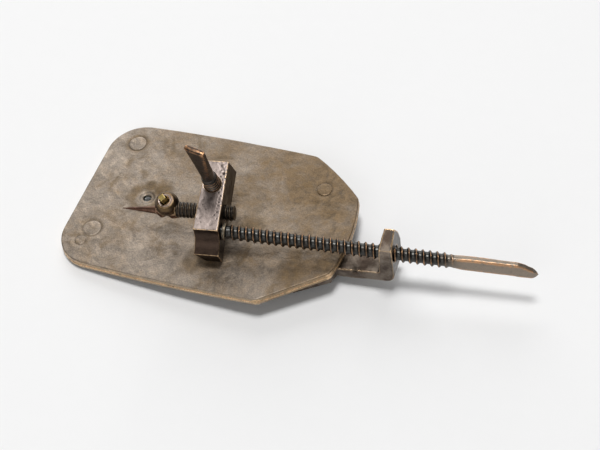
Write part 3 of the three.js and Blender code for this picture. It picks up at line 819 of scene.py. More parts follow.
DENTS = (
    # x, y, reach along, reach across, turn in degrees, depth
    (9.6, -3.6, 1.6, 0.35, 62, 0.07),
    (12.4, -8.2, 1.5, 0.32, 118, 0.07),
    (9.2, -9.6, 1.2, 0.3, 75, 0.05),
    (12.0, -11.6, 1.3, 0.4, 80, 0.06),
    (16.6, -12.2, 1.4, 0.3, 30, 0.05),
    (13.4, -5.9, 0.8, 0.5, 0, 0.04),
    (22.5, -13.0, 0.9, 0.35, 40, 0.05),
    (7.4, 4.6, 0.45, 0.45, 0, -0.05),
    (17.0, 12.0, 0.5, 0.4, 0, 0.05),
    (41.6, 7.3, 1.4, 0.5, 20, 0.09),
    (43.2, 3.6, 1.6, 0.35, 60, 0.07),
    (44.4, 1.0, 1.5, 0.4, 100, 0.08),
    (38.4, 9.6, 1.2, 0.5, -30, 0.06),
    (33.0, 12.6, 2.0, 0.5, 10, 0.05),
    (36.5, 4.5, 1.0, 0.6, 30, 0.04),
    (30.5, 9.0, 1.2, 0.6, 70, 0.03),
)


def dents_at(x, y):
    """Height of the placed dents and scrapes."""
    total = 0.0
    for cx, cy, reach, across, turn, depth in DENTS:
        if abs(x - cx) < 4 and abs(y - cy) < 4:
            c, s = math.cos(math.radians(turn)), math.sin(math.radians(turn))
            u, v = (x - cx) * c + (y - cy) * s, (y - cy) * c - (x - cx) * s
            v -= 0.25 * u * u / reach
            total -= depth * math.exp(-((u / reach) ** 2) - (v / across) ** 2)
    return total


def rivet_rings(x, y):
    """The set metal round each rivet head: a low swell with a groove inside it."""
    total = 0.0
    for _, cx, cy, head, _ in RIVETS:
        away = math.hypot(x - cx, y - cy)
        total += 0.03 * math.exp(-(((away - head - 0.7) / 0.5) ** 2))
        total -= 0.035 * math.exp(-(((away - head - 0.05) / 0.2) ** 2))
    return total


LENS_POCKET = (1.2, 0.355)      # its radius, and its ceiling below the face
EYE_APERTURE = 0.62
HIGHEST_MARK = 0.09             # nothing worked into a face stands higher


def plate_skin(sizes, side):
    """One plate: side 1 is the specimen plate, and -1 the eye plate, which is turned over.

    Each row of the profile is the share of the way from the lens to the rim, the radius at
    the lens, the inset at the rim, and the height.
    """
    points, normals = plate_outline(sizes, 460)
    thick, edge = sizes.thickness, sizes.edge_round
    wide, pocket, low = LENS_POCKET[0], -LENS_POCKET[1], -thick
    aperture = sizes.aperture if side > 0 else EYE_APERTURE
    dish, depth = sizes.dish_radius, sizes.dish_depth
    profile = [(0, wide, 0, low), (0, wide, 0, pocket), (0, aperture, 0, pocket)]
    profile += [(0, aperture, 0, -depth - 0.13), (0, aperture + 0.05, 0, -depth - 0.08)]
    profile += [(0, aperture + 0.28, 0, -depth - 0.04), (0, aperture + 0.58, 0, -depth - 0.02)]
    profile += [(0, aperture + 0.78, 0, -depth + 0.09)]
    for i in range(1, 15):
        r = lerp(aperture + 0.9, dish, i / 14)
        profile.append((0, r, 0, -(depth - 0.07) * (1 - smoothstep(aperture + 0.9, dish, r))))
    profile += [(i / 96, dish, edge, 0) for i in range(1, 97)]
    for i in range(1, 6):
        a = math.radians(18 * i)
        profile.append((1, 0, edge * (1 - math.sin(a)), edge * (math.cos(a) - 1)))
    profile += [(1, 0, 0, lerp(-edge, low + 0.1, i / 4)) for i in range(1, 5)]
    profile += [(1, 0, 0.03, low + 0.03), (1, 0, 0.1, low)]
    profile += [(1 - i / 14, wide, 0.1, low) for i in range(1, 15)]
    count, rows = len(points) - 1, len(profile) - 1
    centre = LENS_CENTRE.to_2d()

    def place(u, v):
        i = round(u * count)
        share, radius, inset, z = profile[round(v * rows)]
        out, normal = Vector(points[i]), Vector(normals[i])
        ragged = 0.025 * wander(out.x, out.y, side * 3.0, 9.0) + (0.0 if side > 0 else 0.05)
        rim = out + normal * (ragged - inset)
        ring = centre + (out - centre).normalized() * radius
        spot = ring.lerp(rim, share)
        if z > -0.5 * thick:
            face = smoothstep(-0.5 * thick, -0.3 * thick, z)
            high = hammered(spot.x, spot.y, 4.0 + side, sizes.hammering)
            if side > 0:
                high += dents_at(spot.x, spot.y)
            high += rivet_rings(spot.x, spot.y)
            fade = smoothstep(0.6, 2.2, (spot - centre).length)
            z += face * fade * min(high, HIGHEST_MARK)
        flipped = z if side > 0 else -(2 * thick + sizes.gap) - z
        return Vector((spot.x, spot.y, flipped))

    return lofted(count, rows, place)


def make_plates(context):
    sizes = Millimetres(context.scene.microscope_plates)
    stains_and_toe_reflection = (
        # middle, full within, gone beyond, strength
        ((13.2, 2.3, 0), 0.8, 2.6, 0.9),
        ((11.0, 2.6, 0), 0.6, 1.7, 0.8),
        ((9.1, 1.3, 0), 0.5, 1.6, 0.75),
        ((8.4, -0.6, 0), 0.3, 1.2, 0.6),
        # painted reflection: these two patches lie where the block's toe is mirrored in the plate,
        # not staining
        ((26.0, -8.5, 0), 1.0, 4.4, 0.75),
        ((24.0, -11.5, 0), 0.8, 2.6, 0.6),
        ((31.0, -1.5, 0), 0.8, 3.6, 0.75),
        ((30.0, 2.5, 0), 0.5, 3.0, 0.45),
        ((22.0, -1.5, 0), 0.5, 3.0, 0.5),
        ((4.8, 11.06, 0), 1.6, 2.7, 0.65),
        ((4.8, -8.3, 0), 1.6, 2.4, 0.4),
        ((40.5, -9.5, 0), 0.6, 3.5, 0.4),
    )
    for side, name, node in (
        (1, "specimen_plate_hammered", "plate_specimen_side"),
        (-1, "eye_plate_hammered", "plate_eye_side"),
    ):
        material = plate_bronze(name + "_bronze", stains_and_toe_reflection if side > 0 else stains_and_toe_reflection[:3])
        mid = -(sizes.thickness + sizes.gap / 2)
        face = mid + side * (sizes.gap / 2 + sizes.thickness)

        def rim(co):
            away = math.hypot(co.x - LENS_CENTRE.x, co.y - LENS_CENTRE.y)
            return smoothstep(0.06, 0.2, abs(co.z - face)) * (away > 5)
        finished(
            name, plate_skin(sizes, side), PLATES, "plates", node,
            material, (5, 0.03), {"rim": rim},
        )


def make_lens(context):
    half, radius, rim = 0.33, 1.15, 0.1
    sag = half - rim
    sphere = (radius ** 2 + sag ** 2) / (2 * sag)
    upper = []
    for i in range(1, 12):
        r = radius * i / 12
        upper.append((r, half - sphere + math.sqrt(sphere ** 2 - r ** 2)))
    profile = [(0, half), *upper, (radius - 0.02, rim + 0.02), (radius, rim), (radius, -rim)]
    profile += [(radius - 0.02, -rim - 0.02), *[(r, -z) for r, z in reversed(upper)], (0, -half)]
    bm = spun(profile, 64)
    finished(
        "lens_bead", bm, PLATES @ shifted(*LENS_CENTRE), "plates", "lens",
        lens_glass("lens_bead_glass"), (2, 0.05),
    )


def make_rivets(context):
    sizes = Millimetres(context.scene.microscope_plates)
    stack = 2 * sizes.thickness + sizes.gap
    for index, (node, x, y, head, rise) in enumerate(RIVETS):
        def heads(sign, base):
            rows = [(0, rise), (head * 0.3, rise), (head * 0.6, rise * 0.95)]
            rows += [(head * 0.8, rise * 0.8), (head * 0.92, rise * 0.5)]
            rows += [(head * 0.985, rise * 0.1), (head, -0.05), (head * 0.97, -0.1)]
            rows += [(head * 0.6, -0.1)]
            return [(r, base + sign * z) for r, z in rows]
        profile = heads(1, 0) + list(reversed(heads(-1, -stack)))
        bm = spun(profile, 72)
        bmesh.ops.subdivide_edges(bm, edges=bm.edges, cuts=1, use_grid_fill=True)
        seed = 3.1 * index

        def beaten(point, normal):
            broad = 0.035 * wander(point.x, point.y, 0, 0.9, seed)
            return broad + 0.012 * wander(point.x, point.y, point.z, 0.3, seed)
        dented(bm, beaten)
        material = plate_bronze(node + "_bronze", (((x, y, 0), head * 0.2, head * 0.8, 0.1),))
        finished(
            node + "_beaten", bm, PLATES @ shifted(x, y, 0), "plates", node,
            material, (4, 0.015),
        )


# ---------------------------------------------------------------- bracket and pivot

def make_bracket(context):
    sizes = Millimetres(context.scene.microscope_bracket)
    plates = Millimetres(context.scene.microscope_plates)
    top = -(2 * plates.thickness + plates.gap) - LEG_CLEARANCE
    bottom = top - sizes.thickness
    eaves, blank_top = 4.6, 7.5
    half, inner = sizes.half_width, sizes.upright
    outer, bend = inner + sizes.upright_thickness, sizes.bend
    section = [(0, bottom), (outer - bend, bottom)]
    section += arc((outer - bend, bottom + bend), bend, -90, 0, 8) + [(outer, bottom + bend)]
    section += [(outer, blank_top), (inner, blank_top), (inner, eaves), (inner, top + 0.25)]
    section += [(inner - 0.25, top), (0, top)]
    bm = extruded(section, "Y", -half, half)
    for point, normal in (      # the gable's corner, two slopes and far shoulder
        ((0, -half, 4.25), (0, -1.0, 1.0)),
        ((0, -2.1, eaves), (0, eaves - sizes.apex, 2.25)),
        ((0, 0.15, sizes.apex), (0, sizes.apex - 4.7, 1.32)),
        ((0, 1.47, 4.7), (0, 2.9, 0.98)),
    ):
        sliced(bm, point, normal)
    for vert in bm.verts:
        if vert.co.x > inner / 2:
            lean = 0.3 * smoothstep(-1.5, eaves, vert.co.z)
            lean += 0.45 * smoothstep(eaves, 6.7, vert.co.z)
            lean *= vert.co.x < inner + 0.5
            vert.co.x += 0.1 * (vert.co.y + half) + lean
    nut = bar(1.37, 15, 45, BRACKET.inverted() @ AXIS)
    palm_near = [(-4.8, -3.0), (-3.4, -5.3), (2.6, -6.6), (8.2, -3.9), (8.9, -2.45)]
    palm = extruded(palm_near + [(x, -y) for x, y in reversed(palm_near)], "Z", bottom, top)
    pivot = bar(1.17, -5, 5, turned("Y", 90))
    bm = hand_worn(joined(drilled(bm, [nut]), palm), 0.1, 3, 0.6)
    bm = drilled(bm, [pivot])

    def handled(point, normal):
        x, y, z = point
        push = 0.05 * wander(x, y, z, 2.6, 1.0) + 0.02 * wander(x, y, z, 0.8, 3.0)
        nick = math.hypot(x - 11.9, z - top + 0.35)
        if y < 0:
            push -= 0.35 * math.exp(-((nick / 0.32) ** 2)) * smoothstep(-1.6, -2.3, y)
        return push
    dented(bm, handled)
    back = lambda co: smoothstep(outer - 0.5, outer, co.x) * smoothstep(bottom, 0.0, co.z)
    finished(
        "bracket_forged", bm, BRACKET, "swing_bracket", "bracket",
        bracket_bronze("bracket_worn_bronze"), (14, 0.05), {"back": back},
    )


def make_pivot_screw(context):
    plates = Millimetres(context.scene.microscope_plates)
    seat = -(2 * plates.thickness + plates.gap) - LEG_CLEARANCE - LEG_THICKNESS - LEG_CLEARANCE
    head, slot_half = seat - 0.75, 0.225
    profile = [(0, head), (1.5, head), (1.95, head + 0.06), (2.15, head + 0.2), (2.2, head + 0.35)]
    profile += [(2.2, seat), (1.1, seat), (1.1, seat + 3.2), (0, seat + 3.2)]
    bm = spun(profile, 64)
    mouth = [(-3, -slot_half), (3, -slot_half), (3, slot_half), (-3, slot_half)]
    slot = extruded(mouth, "Z", head - 0.4, head + 0.35)
    bmesh.ops.rotate(slot, verts=slot.verts, cent=(0, 0, 0), matrix=turned("Z", 35).to_3x3())
    bm = hand_worn(drilled(bm, [slot]), 0.075, 2)
    dented(bm, lambda point, normal: 0.02 * wander(*point, 0.8, 2.0))
    finished(
        "pivot_screw_slotted", bm, PLATES @ shifted(*PIVOT), "plates", "pivot_screw",
        screw_metal("pivot_screw_metal", PLATES), (10, 0.04),
        {"grip": lambda co: 0.8},
    )


# ---------------------------------------------------------------- screws

def thread_rise(phase, low=0.35, high=0.98):
    """Height of a thread's flank: 0 along the round valley and 1 on the narrow crest."""
    return smoothstep(low, high, abs(phase - math.floor(phase) - 0.5) * 2)


def rounded_box(angle, half_y, half_z, power):
    """A point on a section that goes from an ellipse at power 2 to a soft-edged box."""
    c, s = math.cos(angle), math.sin(angle)
    reach = (abs(c) ** power + abs(s) ** power) ** (-1 / power)
    return half_y * c * reach, half_z * s * reach


def make_long_screw(context):
    sizes = Millimetres(context.scene.microscope_screw)
    start, peen_end, first, last = -3.86, -3.51, 0.75, sizes.thread_end
    peen_radius = 1.1
    end = last + sizes.blade_length
    half = sizes.blade_height / 2
    upper = [(last - 1.6, 0.9), (last, half * 0.9), (last + 3, half), (end - 3.4, half)]
    upper += [(end - 2.2, half * 0.8), (end - 1.0, half * 0.38), (end - 0.25, -half * 0.05)]
    upper += [(end, -half * 0.4)]
    lower = [(last - 1.6, -0.9), (last, -half * 0.9), (last + 3, -half), (end - 2.4, -half)]
    lower += [(end - 1.1, -half * 0.93), (end - 0.35, -half * 0.74), (end, -half * 0.42)]
    stations = [start, start, start + 0.04, start + 0.1, peen_end, peen_end + 0.01]
    stations += [*np.linspace(peen_end + 0.1, first, 40), *np.linspace(first + 0.05, last, 520)]
    stations += [*np.linspace(last + 0.08, end - 0.3, 170), end - 0.18, end - 0.1]
    stations += [end - 0.04, end - 0.01, end]

    def place(angle, row, s):
        if s < first:
            r = sizes.journal
            if s <= peen_end:
                r = peen_radius if s > start + 0.05 else (0.0 if row == 0 else 1.0)
            return Vector((s, r * math.sin(angle), -r * math.cos(angle)))
        run_out = min(1.0, (s - first) / 0.45, max(0.0, (last + 0.8 - s) / 1.4))
        rise = thread_rise(s / sizes.pitch - angle / math.tau) * run_out
        wobble = 1 + 0.012 * wander(s, 0, 0, 0.9, 2.0)
        r = (sizes.root + (sizes.crest - sizes.root) * rise) * wobble
        round_y, round_z = r * math.sin(angle), -r * math.cos(angle)
        flat = smoothstep(last - 1.4, last + 2.2, s)
        if flat == 0.0:
            return Vector((s, round_y, round_z))
        high, low = along_path(upper, s), along_path(lower, s)
        thin = sizes.blade_thickness / 2 * lerp(1.12, 0.8, (s - last) / (end - last))
        tip = math.sqrt(max(0.0, 1 - smoothstep(end - 1.0, end + 0.02, s)))
        squareness = 2 + 3.2 * flat
        across, tall = rounded_box(
            angle - math.pi / 2, thin * tip, (high - low) / 2, squareness
        )
        across += 0.06 * wander(s, 0, 5.0, 4.0) * flat
        tall += (high + low) / 2
        return Vector((s, lerp(round_y, across, flat), lerp(round_z, tall, flat)))

    bm = lofted_rows(48, stations, place)

    def worked(point, normal):
        flat = smoothstep(last, last + 3, point.x)
        return flat * (0.05 * wander(*point, 2.2, 6.0) + 0.02 * wander(*point, 0.7, 1.0))
    dented(bm, worked)

    def grip(co):
        return smoothstep(last - 2.0, last + 2.5, co.x)

    def crest(co):
        threaded = smoothstep(first, first + 0.3, co.x) * (1 - smoothstep(last - 0.8, last, co.x))
        return threaded * smoothstep(sizes.crest - 0.05, sizes.crest, math.hypot(co.y, co.z))
    tints = context.scene.microscope_finish
    finished(
        "long_screw_threaded", bm, AXIS, "travel_screw", "long_screw",
        screw_metal("long_screw_metal", AXIS, 0.8, tints.plate), (7, 0.045),
        {"grip": grip, "crest": crest},
    )


def make_collar(context):
    low, high, radius, inner, soft = 0.17, 0.67, 1.42, 0.91, 0.09
    profile = [(inner, low + 0.03), (inner + 0.03, low), (radius - soft, low)]
    profile += [(radius - 0.02, low + 0.03), (radius, low + soft), (radius, high - soft)]
    profile += [(radius - 0.03, high - 0.03), (radius - soft, high), (radius - 0.25, high + 0.01)]
    profile += [(inner + 0.03, high), (inner, high - 0.03), (inner, low + 0.03)]
    bm = spun(profile, 96)
    bmesh.ops.subdivide_edges(bm, edges=bm.edges, cuts=1, use_grid_fill=True)
    dented(bm, lambda point, normal: 0.02 * wander(*point, 0.7, radius))
    tints = context.scene.microscope_finish
    finished(
        "screw_collar_turned", bm, AXIS @ turned("Y", 90), "carriage", "screw_collar",
        plain_metal("screw_collar_metal", tints.collar, 0.6, 0.42, 0.58, 0.5, AXIS), (5, 0.02),
    )


def make_stage_block(context):
    sizes = Millimetres(context.scene.microscope_block)
    top, near = 2.8, -1.02
    far, bottom = near + sizes.length, top - sizes.height
    lip_y, lip_z = near - sizes.toe, top - sizes.lip
    p = ((near, top), (near - 0.1, top - 1.9), (lip_y + 1.7, lip_z + 0.25), (lip_y, lip_z))
    cove = []
    for i in range(19):
        t = i / 18
        w = ((1 - t) ** 3, 3 * t * (1 - t) ** 2, 3 * t * t * (1 - t), t ** 3)
        cove.append(tuple(sum(a * q[k] for a, q in zip(w, p)) for k in (0, 1)))
    section = cove + [(lip_y, bottom), (far + sizes.far_slant, bottom + 0.1), (far, top)]
    bm = extruded(section, "X", 0, -sizes.width)
    for vert in bm.verts:
        share = min(1.0, max(0.0, (vert.co.y - near) / sizes.length))
        vert.co.x *= lerp(1.0, sizes.width_far / sizes.width, share)
    sliced(bm, (-sizes.width, lip_y, lip_z - 0.12), (-2.75, -0.55, -1.3))
    cutters = [     # the journal's bore and its counterbore, then the two screws' holes
        bar(0.91, -8, 3, BLOCK.inverted() @ AXIS),
        bar(1.18, -8, -3.43, BLOCK.inverted() @ AXIS),
        bar(1.38, -8, 8, shifted(*FOCUS_HOLE) @ turned("Y", 90)),
        bar(1.38, -8, 3, shifted(*ROD_HOLE)),
    ]
    bm = hand_worn(drilled(bm, cutters), 0.085, 2)
    pits = [        # x, y, reach
        (-0.5 - 0.9 * abs(wander(k, 0, 0, 0.7)), 1.0 + 0.55 * k, 0.07 + 0.03 * (k % 3))
        for k in range(16)
    ]
    pits += [(-3.0, 0.2, 0.06), (-2.5, 2.4, 0.07), (-1.9, 4.4, 0.09), (-3.1, 3.1, 0.05)]
    pits += [(-0.5, 8.6, 0.22)]

    def handled(point, normal):
        x, y, z = point
        push = 0.03 * wander(x, y, z, 2.4, 8.0) + 0.012 * wander(x, y, z, 0.6, 4.0)
        if normal.z > 0.6 and z > 2.2:
            for px, py, reach in pits:
                away = math.hypot(x - px, y - py)
                if away < 3 * reach:
                    push -= 0.09 * math.exp(-((away / reach) ** 2))
            rough = smoothstep(5.5, 8.0, y) * smoothstep(-2.0, -0.7, x)
            push += 0.05 * rough * wander(x, y, z, 0.45, 9.0)
        edge_nicks = smoothstep(0.25, 0.6, wander(x, y, z, 0.9, 12.0))
        return push - 0.03 * edge_nicks
    dented(bm, handled)

    def rubbed(co):
        return smoothstep(top - 0.14, top - 0.05, co.z) * smoothstep(near - 0.12, near - 0.02, co.y)
    finished(
        "stage_block_filed", bm, BLOCK, "stage", "stage_block",
        block_bronze("stage_block_bronze"), (8, 0.04), {"rubbed": rubbed},
    )


def make_focus_screw(context):
    sizes = Millimetres(context.scene.microscope_focus)
    low, high, top = -sizes.tip, sizes.thread_top, sizes.top
    stations = [low, low, low + 0.1, low + 0.3, *np.linspace(low + 0.5, high + 0.6, 250)]
    stations += [*np.linspace(high + 0.65, top - 0.12, 120), top - 0.08, top - 0.04, top - 0.015]
    stations += [top, top]

    def place(angle, row, s):
        if row == 0:
            return Vector((0, 0, s))
        point = smoothstep(low - 0.2, low + 1.1, s)
        run_out = min(1.0, max(0.0, (s - low - 0.9) / 0.4), max(0.0, (high + 0.6 - s) / 1.2))
        rise = thread_rise(s / sizes.pitch - angle / math.tau, 0.35, 0.92) * run_out
        r = lerp(0.3, sizes.root, point) + (sizes.crest - sizes.root) * rise
        flat = smoothstep(high - 0.2, top - 0.4, s)
        share = (s - high) / (top - high)
        cap = min(1.0, math.sqrt(max(0.0, (top - s) / 0.12 + 0.15)))
        broad = 0.9 + 0.1 * cap
        if row == len(stations) - 1:
            cap = broad = 0.0
        wide = lerp(sizes.root, sizes.blade_width / 2, flat) * broad
        thin = lerp(sizes.root, sizes.blade_thickness / 2, flat) * cap
        x, y = rounded_box(angle, wide, thin, 2 + 2.6 * flat)
        turn = math.radians(lerp(-32, -18, share))
        cos, sin = math.cos(turn), math.sin(turn)
        blade = Vector((x * cos - y * sin, x * sin + y * cos))
        mix = smoothstep(high - 0.2, high + 1.4, s)
        stem = Vector((r * math.cos(angle + turn * mix), r * math.sin(angle + turn * mix)))
        spot = stem.lerp(blade, mix)
        return Vector((spot.x, spot.y, s))

    bm = lofted_rows(56, stations, place)

    def worked(point, normal):
        flat = smoothstep(high, high + 2, point.z)
        return flat * (0.05 * wander(*point, 1.6, 3.0) + 0.02 * wander(*point, 0.5, 7.0))
    dented(bm, worked)

    def grip(co):
        return 0.75 * smoothstep(high - 1.5, high + 2.5, co.z)

    def crest(co):
        out = smoothstep(sizes.crest - 0.08, sizes.crest - 0.01, math.hypot(co.x, co.y))
        return (co.z < high) * out
    tints = context.scene.microscope_finish
    finished(
        "focus_screw_twisted", bm, FOCUS, "focusing", "focus_screw",
        screw_metal("focus_screw_metal", FOCUS, 0.75, tints.bronze), (7, 0.045),
        {"grip": grip, "crest": crest},
    )


# ---------------------------------------------------------------- specimen holder

def make_specimen_rod(context):
    sizes = Millimetres(context.scene.microscope_holder)
    first, last = BALL.x + 1.4, sizes.overhang
    stations = [first, first, *np.linspace(first + 0.02, last - 0.12, 230)]
    stations += [last - 0.06, last - 0.02, last, last]

    def place(angle, row, s):
        if row in (0, len(stations) - 1):
            return Vector((s, 0, 0))
        run_out = min(1.0, max(0.0, (last - s) / 0.25))
        outside = smoothstep(-0.1, 0.1, s)
        crest = lerp(sizes.crest, sizes.crest + 0.02, outside)
        root = lerp(sizes.root, sizes.root - 0.1, outside)
        rise = thread_rise(s / sizes.pitch - angle / math.tau, 0.2, 0.9)
        r = (root + (crest - root) * rise) * lerp(0.9, 1.0, run_out)
        r *= 1 + 0.012 * wander(s, math.cos(angle), math.sin(angle), 0.8, 3.0)
        return Vector((s, r * math.sin(angle), -r * math.cos(angle)))

    rod = lofted_rows(48, stations, place)
    ball = bmesh.new()
    bmesh.ops.create_icosphere(ball, subdivisions=5, radius=sizes.ball)
    sliced(ball, (0, 0, sizes.ball_flat), (0, 0, 1))
    bmesh.ops.translate(ball, verts=ball.verts, vec=BALL)
    hole = square_bar(sizes.peg + 0.3, sizes.ball_flat - 1.1, sizes.ball_flat + 3)
    ball = hand_worn(drilled(ball, [hole]), 0.06, 2)

    def ringed(point, normal):
        away = math.hypot(point.x - BALL.x, point.y - BALL.y)
        on_flat = smoothstep(sizes.ball_flat - 0.1, sizes.ball_flat - 0.03, point.z - BALL.z)
        rings = 0.012 * math.sin(away * math.tau / 0.34) * on_flat
        return rings + 0.02 * wander(*point, 0.9, 2.0) + 0.008 * wander(*point, 0.3, 5.0)
    dented(ball, ringed)
    bm = joined(rod, ball)

    def rubbed(co):
        away = math.hypot(co.x - BALL.x, co.y - BALL.y)
        ring = smoothstep(0.8, 0.95, away) * (1 - smoothstep(1.05, 1.2, away))
        on_flat = smoothstep(sizes.ball_flat - 0.12, sizes.ball_flat - 0.04, co.z - BALL.z)
        return 0.7 * ring * on_flat * (co.x < -7)

    def thread(co):
        return smoothstep(BALL.x + 1.5, BALL.x + 1.9, co.x)
    finished(
        "specimen_rod_ball", bm, ROD, "specimen_holder", "specimen_rod",
        ball_metal("specimen_rod_metal"), (6, 0.03), {"rubbed": rubbed, "thread": thread},
    )


def square_bar(width, low, high, round_edge=0.0):
    """A bar with a lozenge section in the ball's hole, leaning a little to the lens end."""
    bm = bmesh.new()
    bmesh.ops.create_cube(bm, size=1.0)
    bmesh.ops.scale(bm, verts=bm.verts, vec=(width, width, high - low))
    bmesh.ops.translate(bm, verts=bm.verts, vec=(0, 0, (low + high) / 2))
    if round_edge:
        bmesh.ops.bevel(
            bm, geom=bm.edges[:], offset=round_edge, segments=3, profile=0.5, affect="EDGES",
            material=-1,
        )
    turn = shifted(*BALL) @ turned("Y", -6.0) @ turned("Z", 45)
    bmesh.ops.transform(bm, matrix=turn, verts=bm.verts)
    return bm


def make_clamp_peg(context):
    sizes = Millimetres(context.scene.microscope_holder)
    bm = square_bar(sizes.peg, sizes.ball_flat - 1.0, sizes.ball_flat + 1.25, 0.06)
    bm = hand_worn(bm, 0.04, 1)

    def filed(point, normal):
        return 0.02 * wander(*point, 0.5, 3.0) + 0.008 * wander(*point, 0.16, 1.0)
    dented(bm, filed)
    tints = context.scene.microscope_finish
    finished(
        "clamp_peg_filed", bm, ROD, "specimen_holder", "clamp_peg",
        plain_metal("clamp_peg_brass", tints.brass, 0.6, 0.22, 0.36, 0.35, ROD), (5, 0.02),
    )


def make_needle(context):
    sizes = Millimetres(context.scene.microscope_holder)
    total, butt = sizes.needle, 3.9
    stations = [0, 0, 0.05, 0.2, *np.linspace(0.3, total - 0.2, 190), total - 0.1, total, total]

    def place(angle, row, s):
        if row in (0, len(stations) - 1):
            return Vector((0, 0, s))
        lump = 0.9 * (0.8 + 0.2 * wander(s, math.cos(angle), math.sin(angle), 0.8, 6.0))
        waist = 1 - 0.35 * math.exp(-(((s - 2.1) / 0.5) ** 2))
        lump *= lerp(0.7, 1.0, smoothstep(0, 0.25, s)) * waist
        cone = lerp(0.68, 0.06, (s - butt) / (total - butt) if s > butt else 0)
        r = lerp(lump, cone, smoothstep(butt - 0.25, butt + 0.25, s))
        if row == 1:
            r *= 0.8
        if row == len(stations) - 2:
            r = 0.02
        drop = 0.35 * (1 - smoothstep(butt - 1.0, butt, s))
        return Vector((r * math.cos(angle) - drop, r * math.sin(angle) - drop, s))

    bm = lofted_rows(40, stations, place)
    lie = ROD @ shifted(BALL.x + butt / 2, BALL.y - 0.7, BALL.z - 1.1)
    lie = lie @ turned("Z", 1.25) @ turned("Y", -90)
    tints = context.scene.microscope_finish
    finished(
        "needle_drawn", bm, lie, "specimen_holder", "needle",
        plain_metal("needle_copper", tints.copper, 0.55, 0.26, 0.4, 0.8, ROD), (5, 0.03),
    )


# ---------------------------------------------------------------- stage

# The camera in the plates' frame: which way its right, down and ahead point, and where it is.
CAMERA_RIGHT = Vector((0.93752803, 0.32549133, -0.12286818))
CAMERA_DOWN = Vector((0.1831839, -0.7620682, -0.62104405))
CAMERA_AHEAD = Vector((-0.29577838, 0.55973873, -0.77408507))
CAMERA_EYE = (101.1356, -117.7003, 163.4906)
FLOOR_HALF = 2.5                # metres


def make_camera(scene):
    turn = Matrix((CAMERA_RIGHT, -CAMERA_DOWN, -CAMERA_AHEAD)).transposed().to_4x4()
    data = bpy.data.cameras.new("microscope_camera")
    data.sensor_fit = "HORIZONTAL"
    data.sensor_width = 36.0
    data.lens = 78.02
    data.clip_start = 0.01
    data.clip_end = 20.0
    camera = bpy.data.objects.new("microscope_camera", data)
    placed = PLATES @ shifted(*CAMERA_EYE) @ turn
    camera.rotation_mode = "QUATERNION"
    camera.location = placed.translation * MM
    camera.rotation_quaternion = placed.to_3x3().normalized().to_quaternion()
    scene.collection.objects.link(camera)
    scene.camera = camera


def make_light(scene, name, place, width, watts):
    """A square white light that faces the origin."""
    data = bpy.data.lights.new(name, "AREA")
    data.shape = "SQUARE"
    data.size = width
    data.energy = watts
    light = bpy.data.objects.new(name, data)
    light.location = place
    light.rotation_euler = (-Vector(place)).to_track_quat("-Z", "Y").to_euler()
    scene.collection.objects.link(light)


def make_studio(context):
    scene = context.scene
    scene.view_settings.view_transform = "Standard"
    world = bpy.data.worlds.new("soft_room")
    world.use_nodes = True
    sky = world.node_tree.nodes["Background"]
    sky.inputs["Color"].default_value = (1.0, 1.0, 1.0, 1.0)
    sky.inputs["Strength"].default_value = 0.14
    scene.world = world
    make_light(scene, "top_light", (-0.05, 0.06, 1.0), 0.26, 6.4)
    make_light(scene, "window_light", (-0.6, 1.3, 0.75), 1.4, 15.0)
    make_light(scene, "fill_light", (-0.1, -1.0, 0.6), 0.8, 3.0)
    bm = bmesh.new()
    bmesh.ops.create_grid(bm, x_segments=4, y_segments=4, size=FLOOR_HALF)
    mesh = bpy.data.meshes.new("pale_floor")
    bm.to_mesh(mesh)
    bm.free()
    mesh.materials.append(floor_card("pale_floor_card"))
    floor = bpy.data.objects.new("pale_floor", mesh)
    scene.collection.objects.link(floor)


# ---------------------------------------------------------------- operators and panel

class MICROSCOPE_OT_plates(bpy.types.Operator):
    """Make the two hammered plates"""
    bl_idname = "microscope.plates"
    bl_label = "Plates"

    def execute(self, context):
        make_plates(context)
        return {"FINISHED"}


class MICROSCOPE_OT_lens(bpy.types.Operator):
    """Make the bead lens between the plates"""
    bl_idname = "microscope.lens"
    bl_label = "Lens"

    def execute(self, context):
        make_lens(context)
        return {"FINISHED"}


class MICROSCOPE_OT_rivets(bpy.types.Operator):
    """Make the four beaten rivets"""
    bl_idname = "microscope.rivets"
    bl_label = "Rivets"

    def execute(self, context):
        make_rivets(context)
        return {"FINISHED"}


class MICROSCOPE_OT_bracket(bpy.types.Operator):
    """Make the angle bracket that carries the long screw"""
    bl_idname = "microscope.bracket"
    bl_label = "Bracket"

    def execute(self, context):
        make_bracket(context)
        return {"FINISHED"}


class MICROSCOPE_OT_pivot_screw(bpy.types.Operator):
    """Make the slotted screw that holds the bracket to the plates"""
    bl_idname = "microscope.pivot_screw"
    bl_label = "Pivot screw"

    def execute(self, context):
        make_pivot_screw(context)
        return {"FINISHED"}


class MICROSCOPE_OT_long_screw(bpy.types.Operator):
    """Make the long travel screw with its thumb blade"""
    bl_idname = "microscope.long_screw"
    bl_label = "Long screw"

    def execute(self, context):
        make_long_screw(context)
        return {"FINISHED"}


class MICROSCOPE_OT_collar(bpy.types.Operator):
    """Make the collar on the long screw"""
    bl_idname = "microscope.collar"
    bl_label = "Collar"

    def execute(self, context):
        make_collar(context)
        return {"FINISHED"}


class MICROSCOPE_OT_stage_block(bpy.types.Operator):
    """Make the stage block with its coved toe"""
    bl_idname = "microscope.stage_block"
    bl_label = "Stage block"

    def execute(self, context):
        make_stage_block(context)
        return {"FINISHED"}


class MICROSCOPE_OT_focus_screw(bpy.types.Operator):
    """Make the focusing screw with its twisted thumb blade"""
    bl_idname = "microscope.focus_screw"
    bl_label = "Focusing screw"

    def execute(self, context):
        make_focus_screw(context)
        return {"FINISHED"}


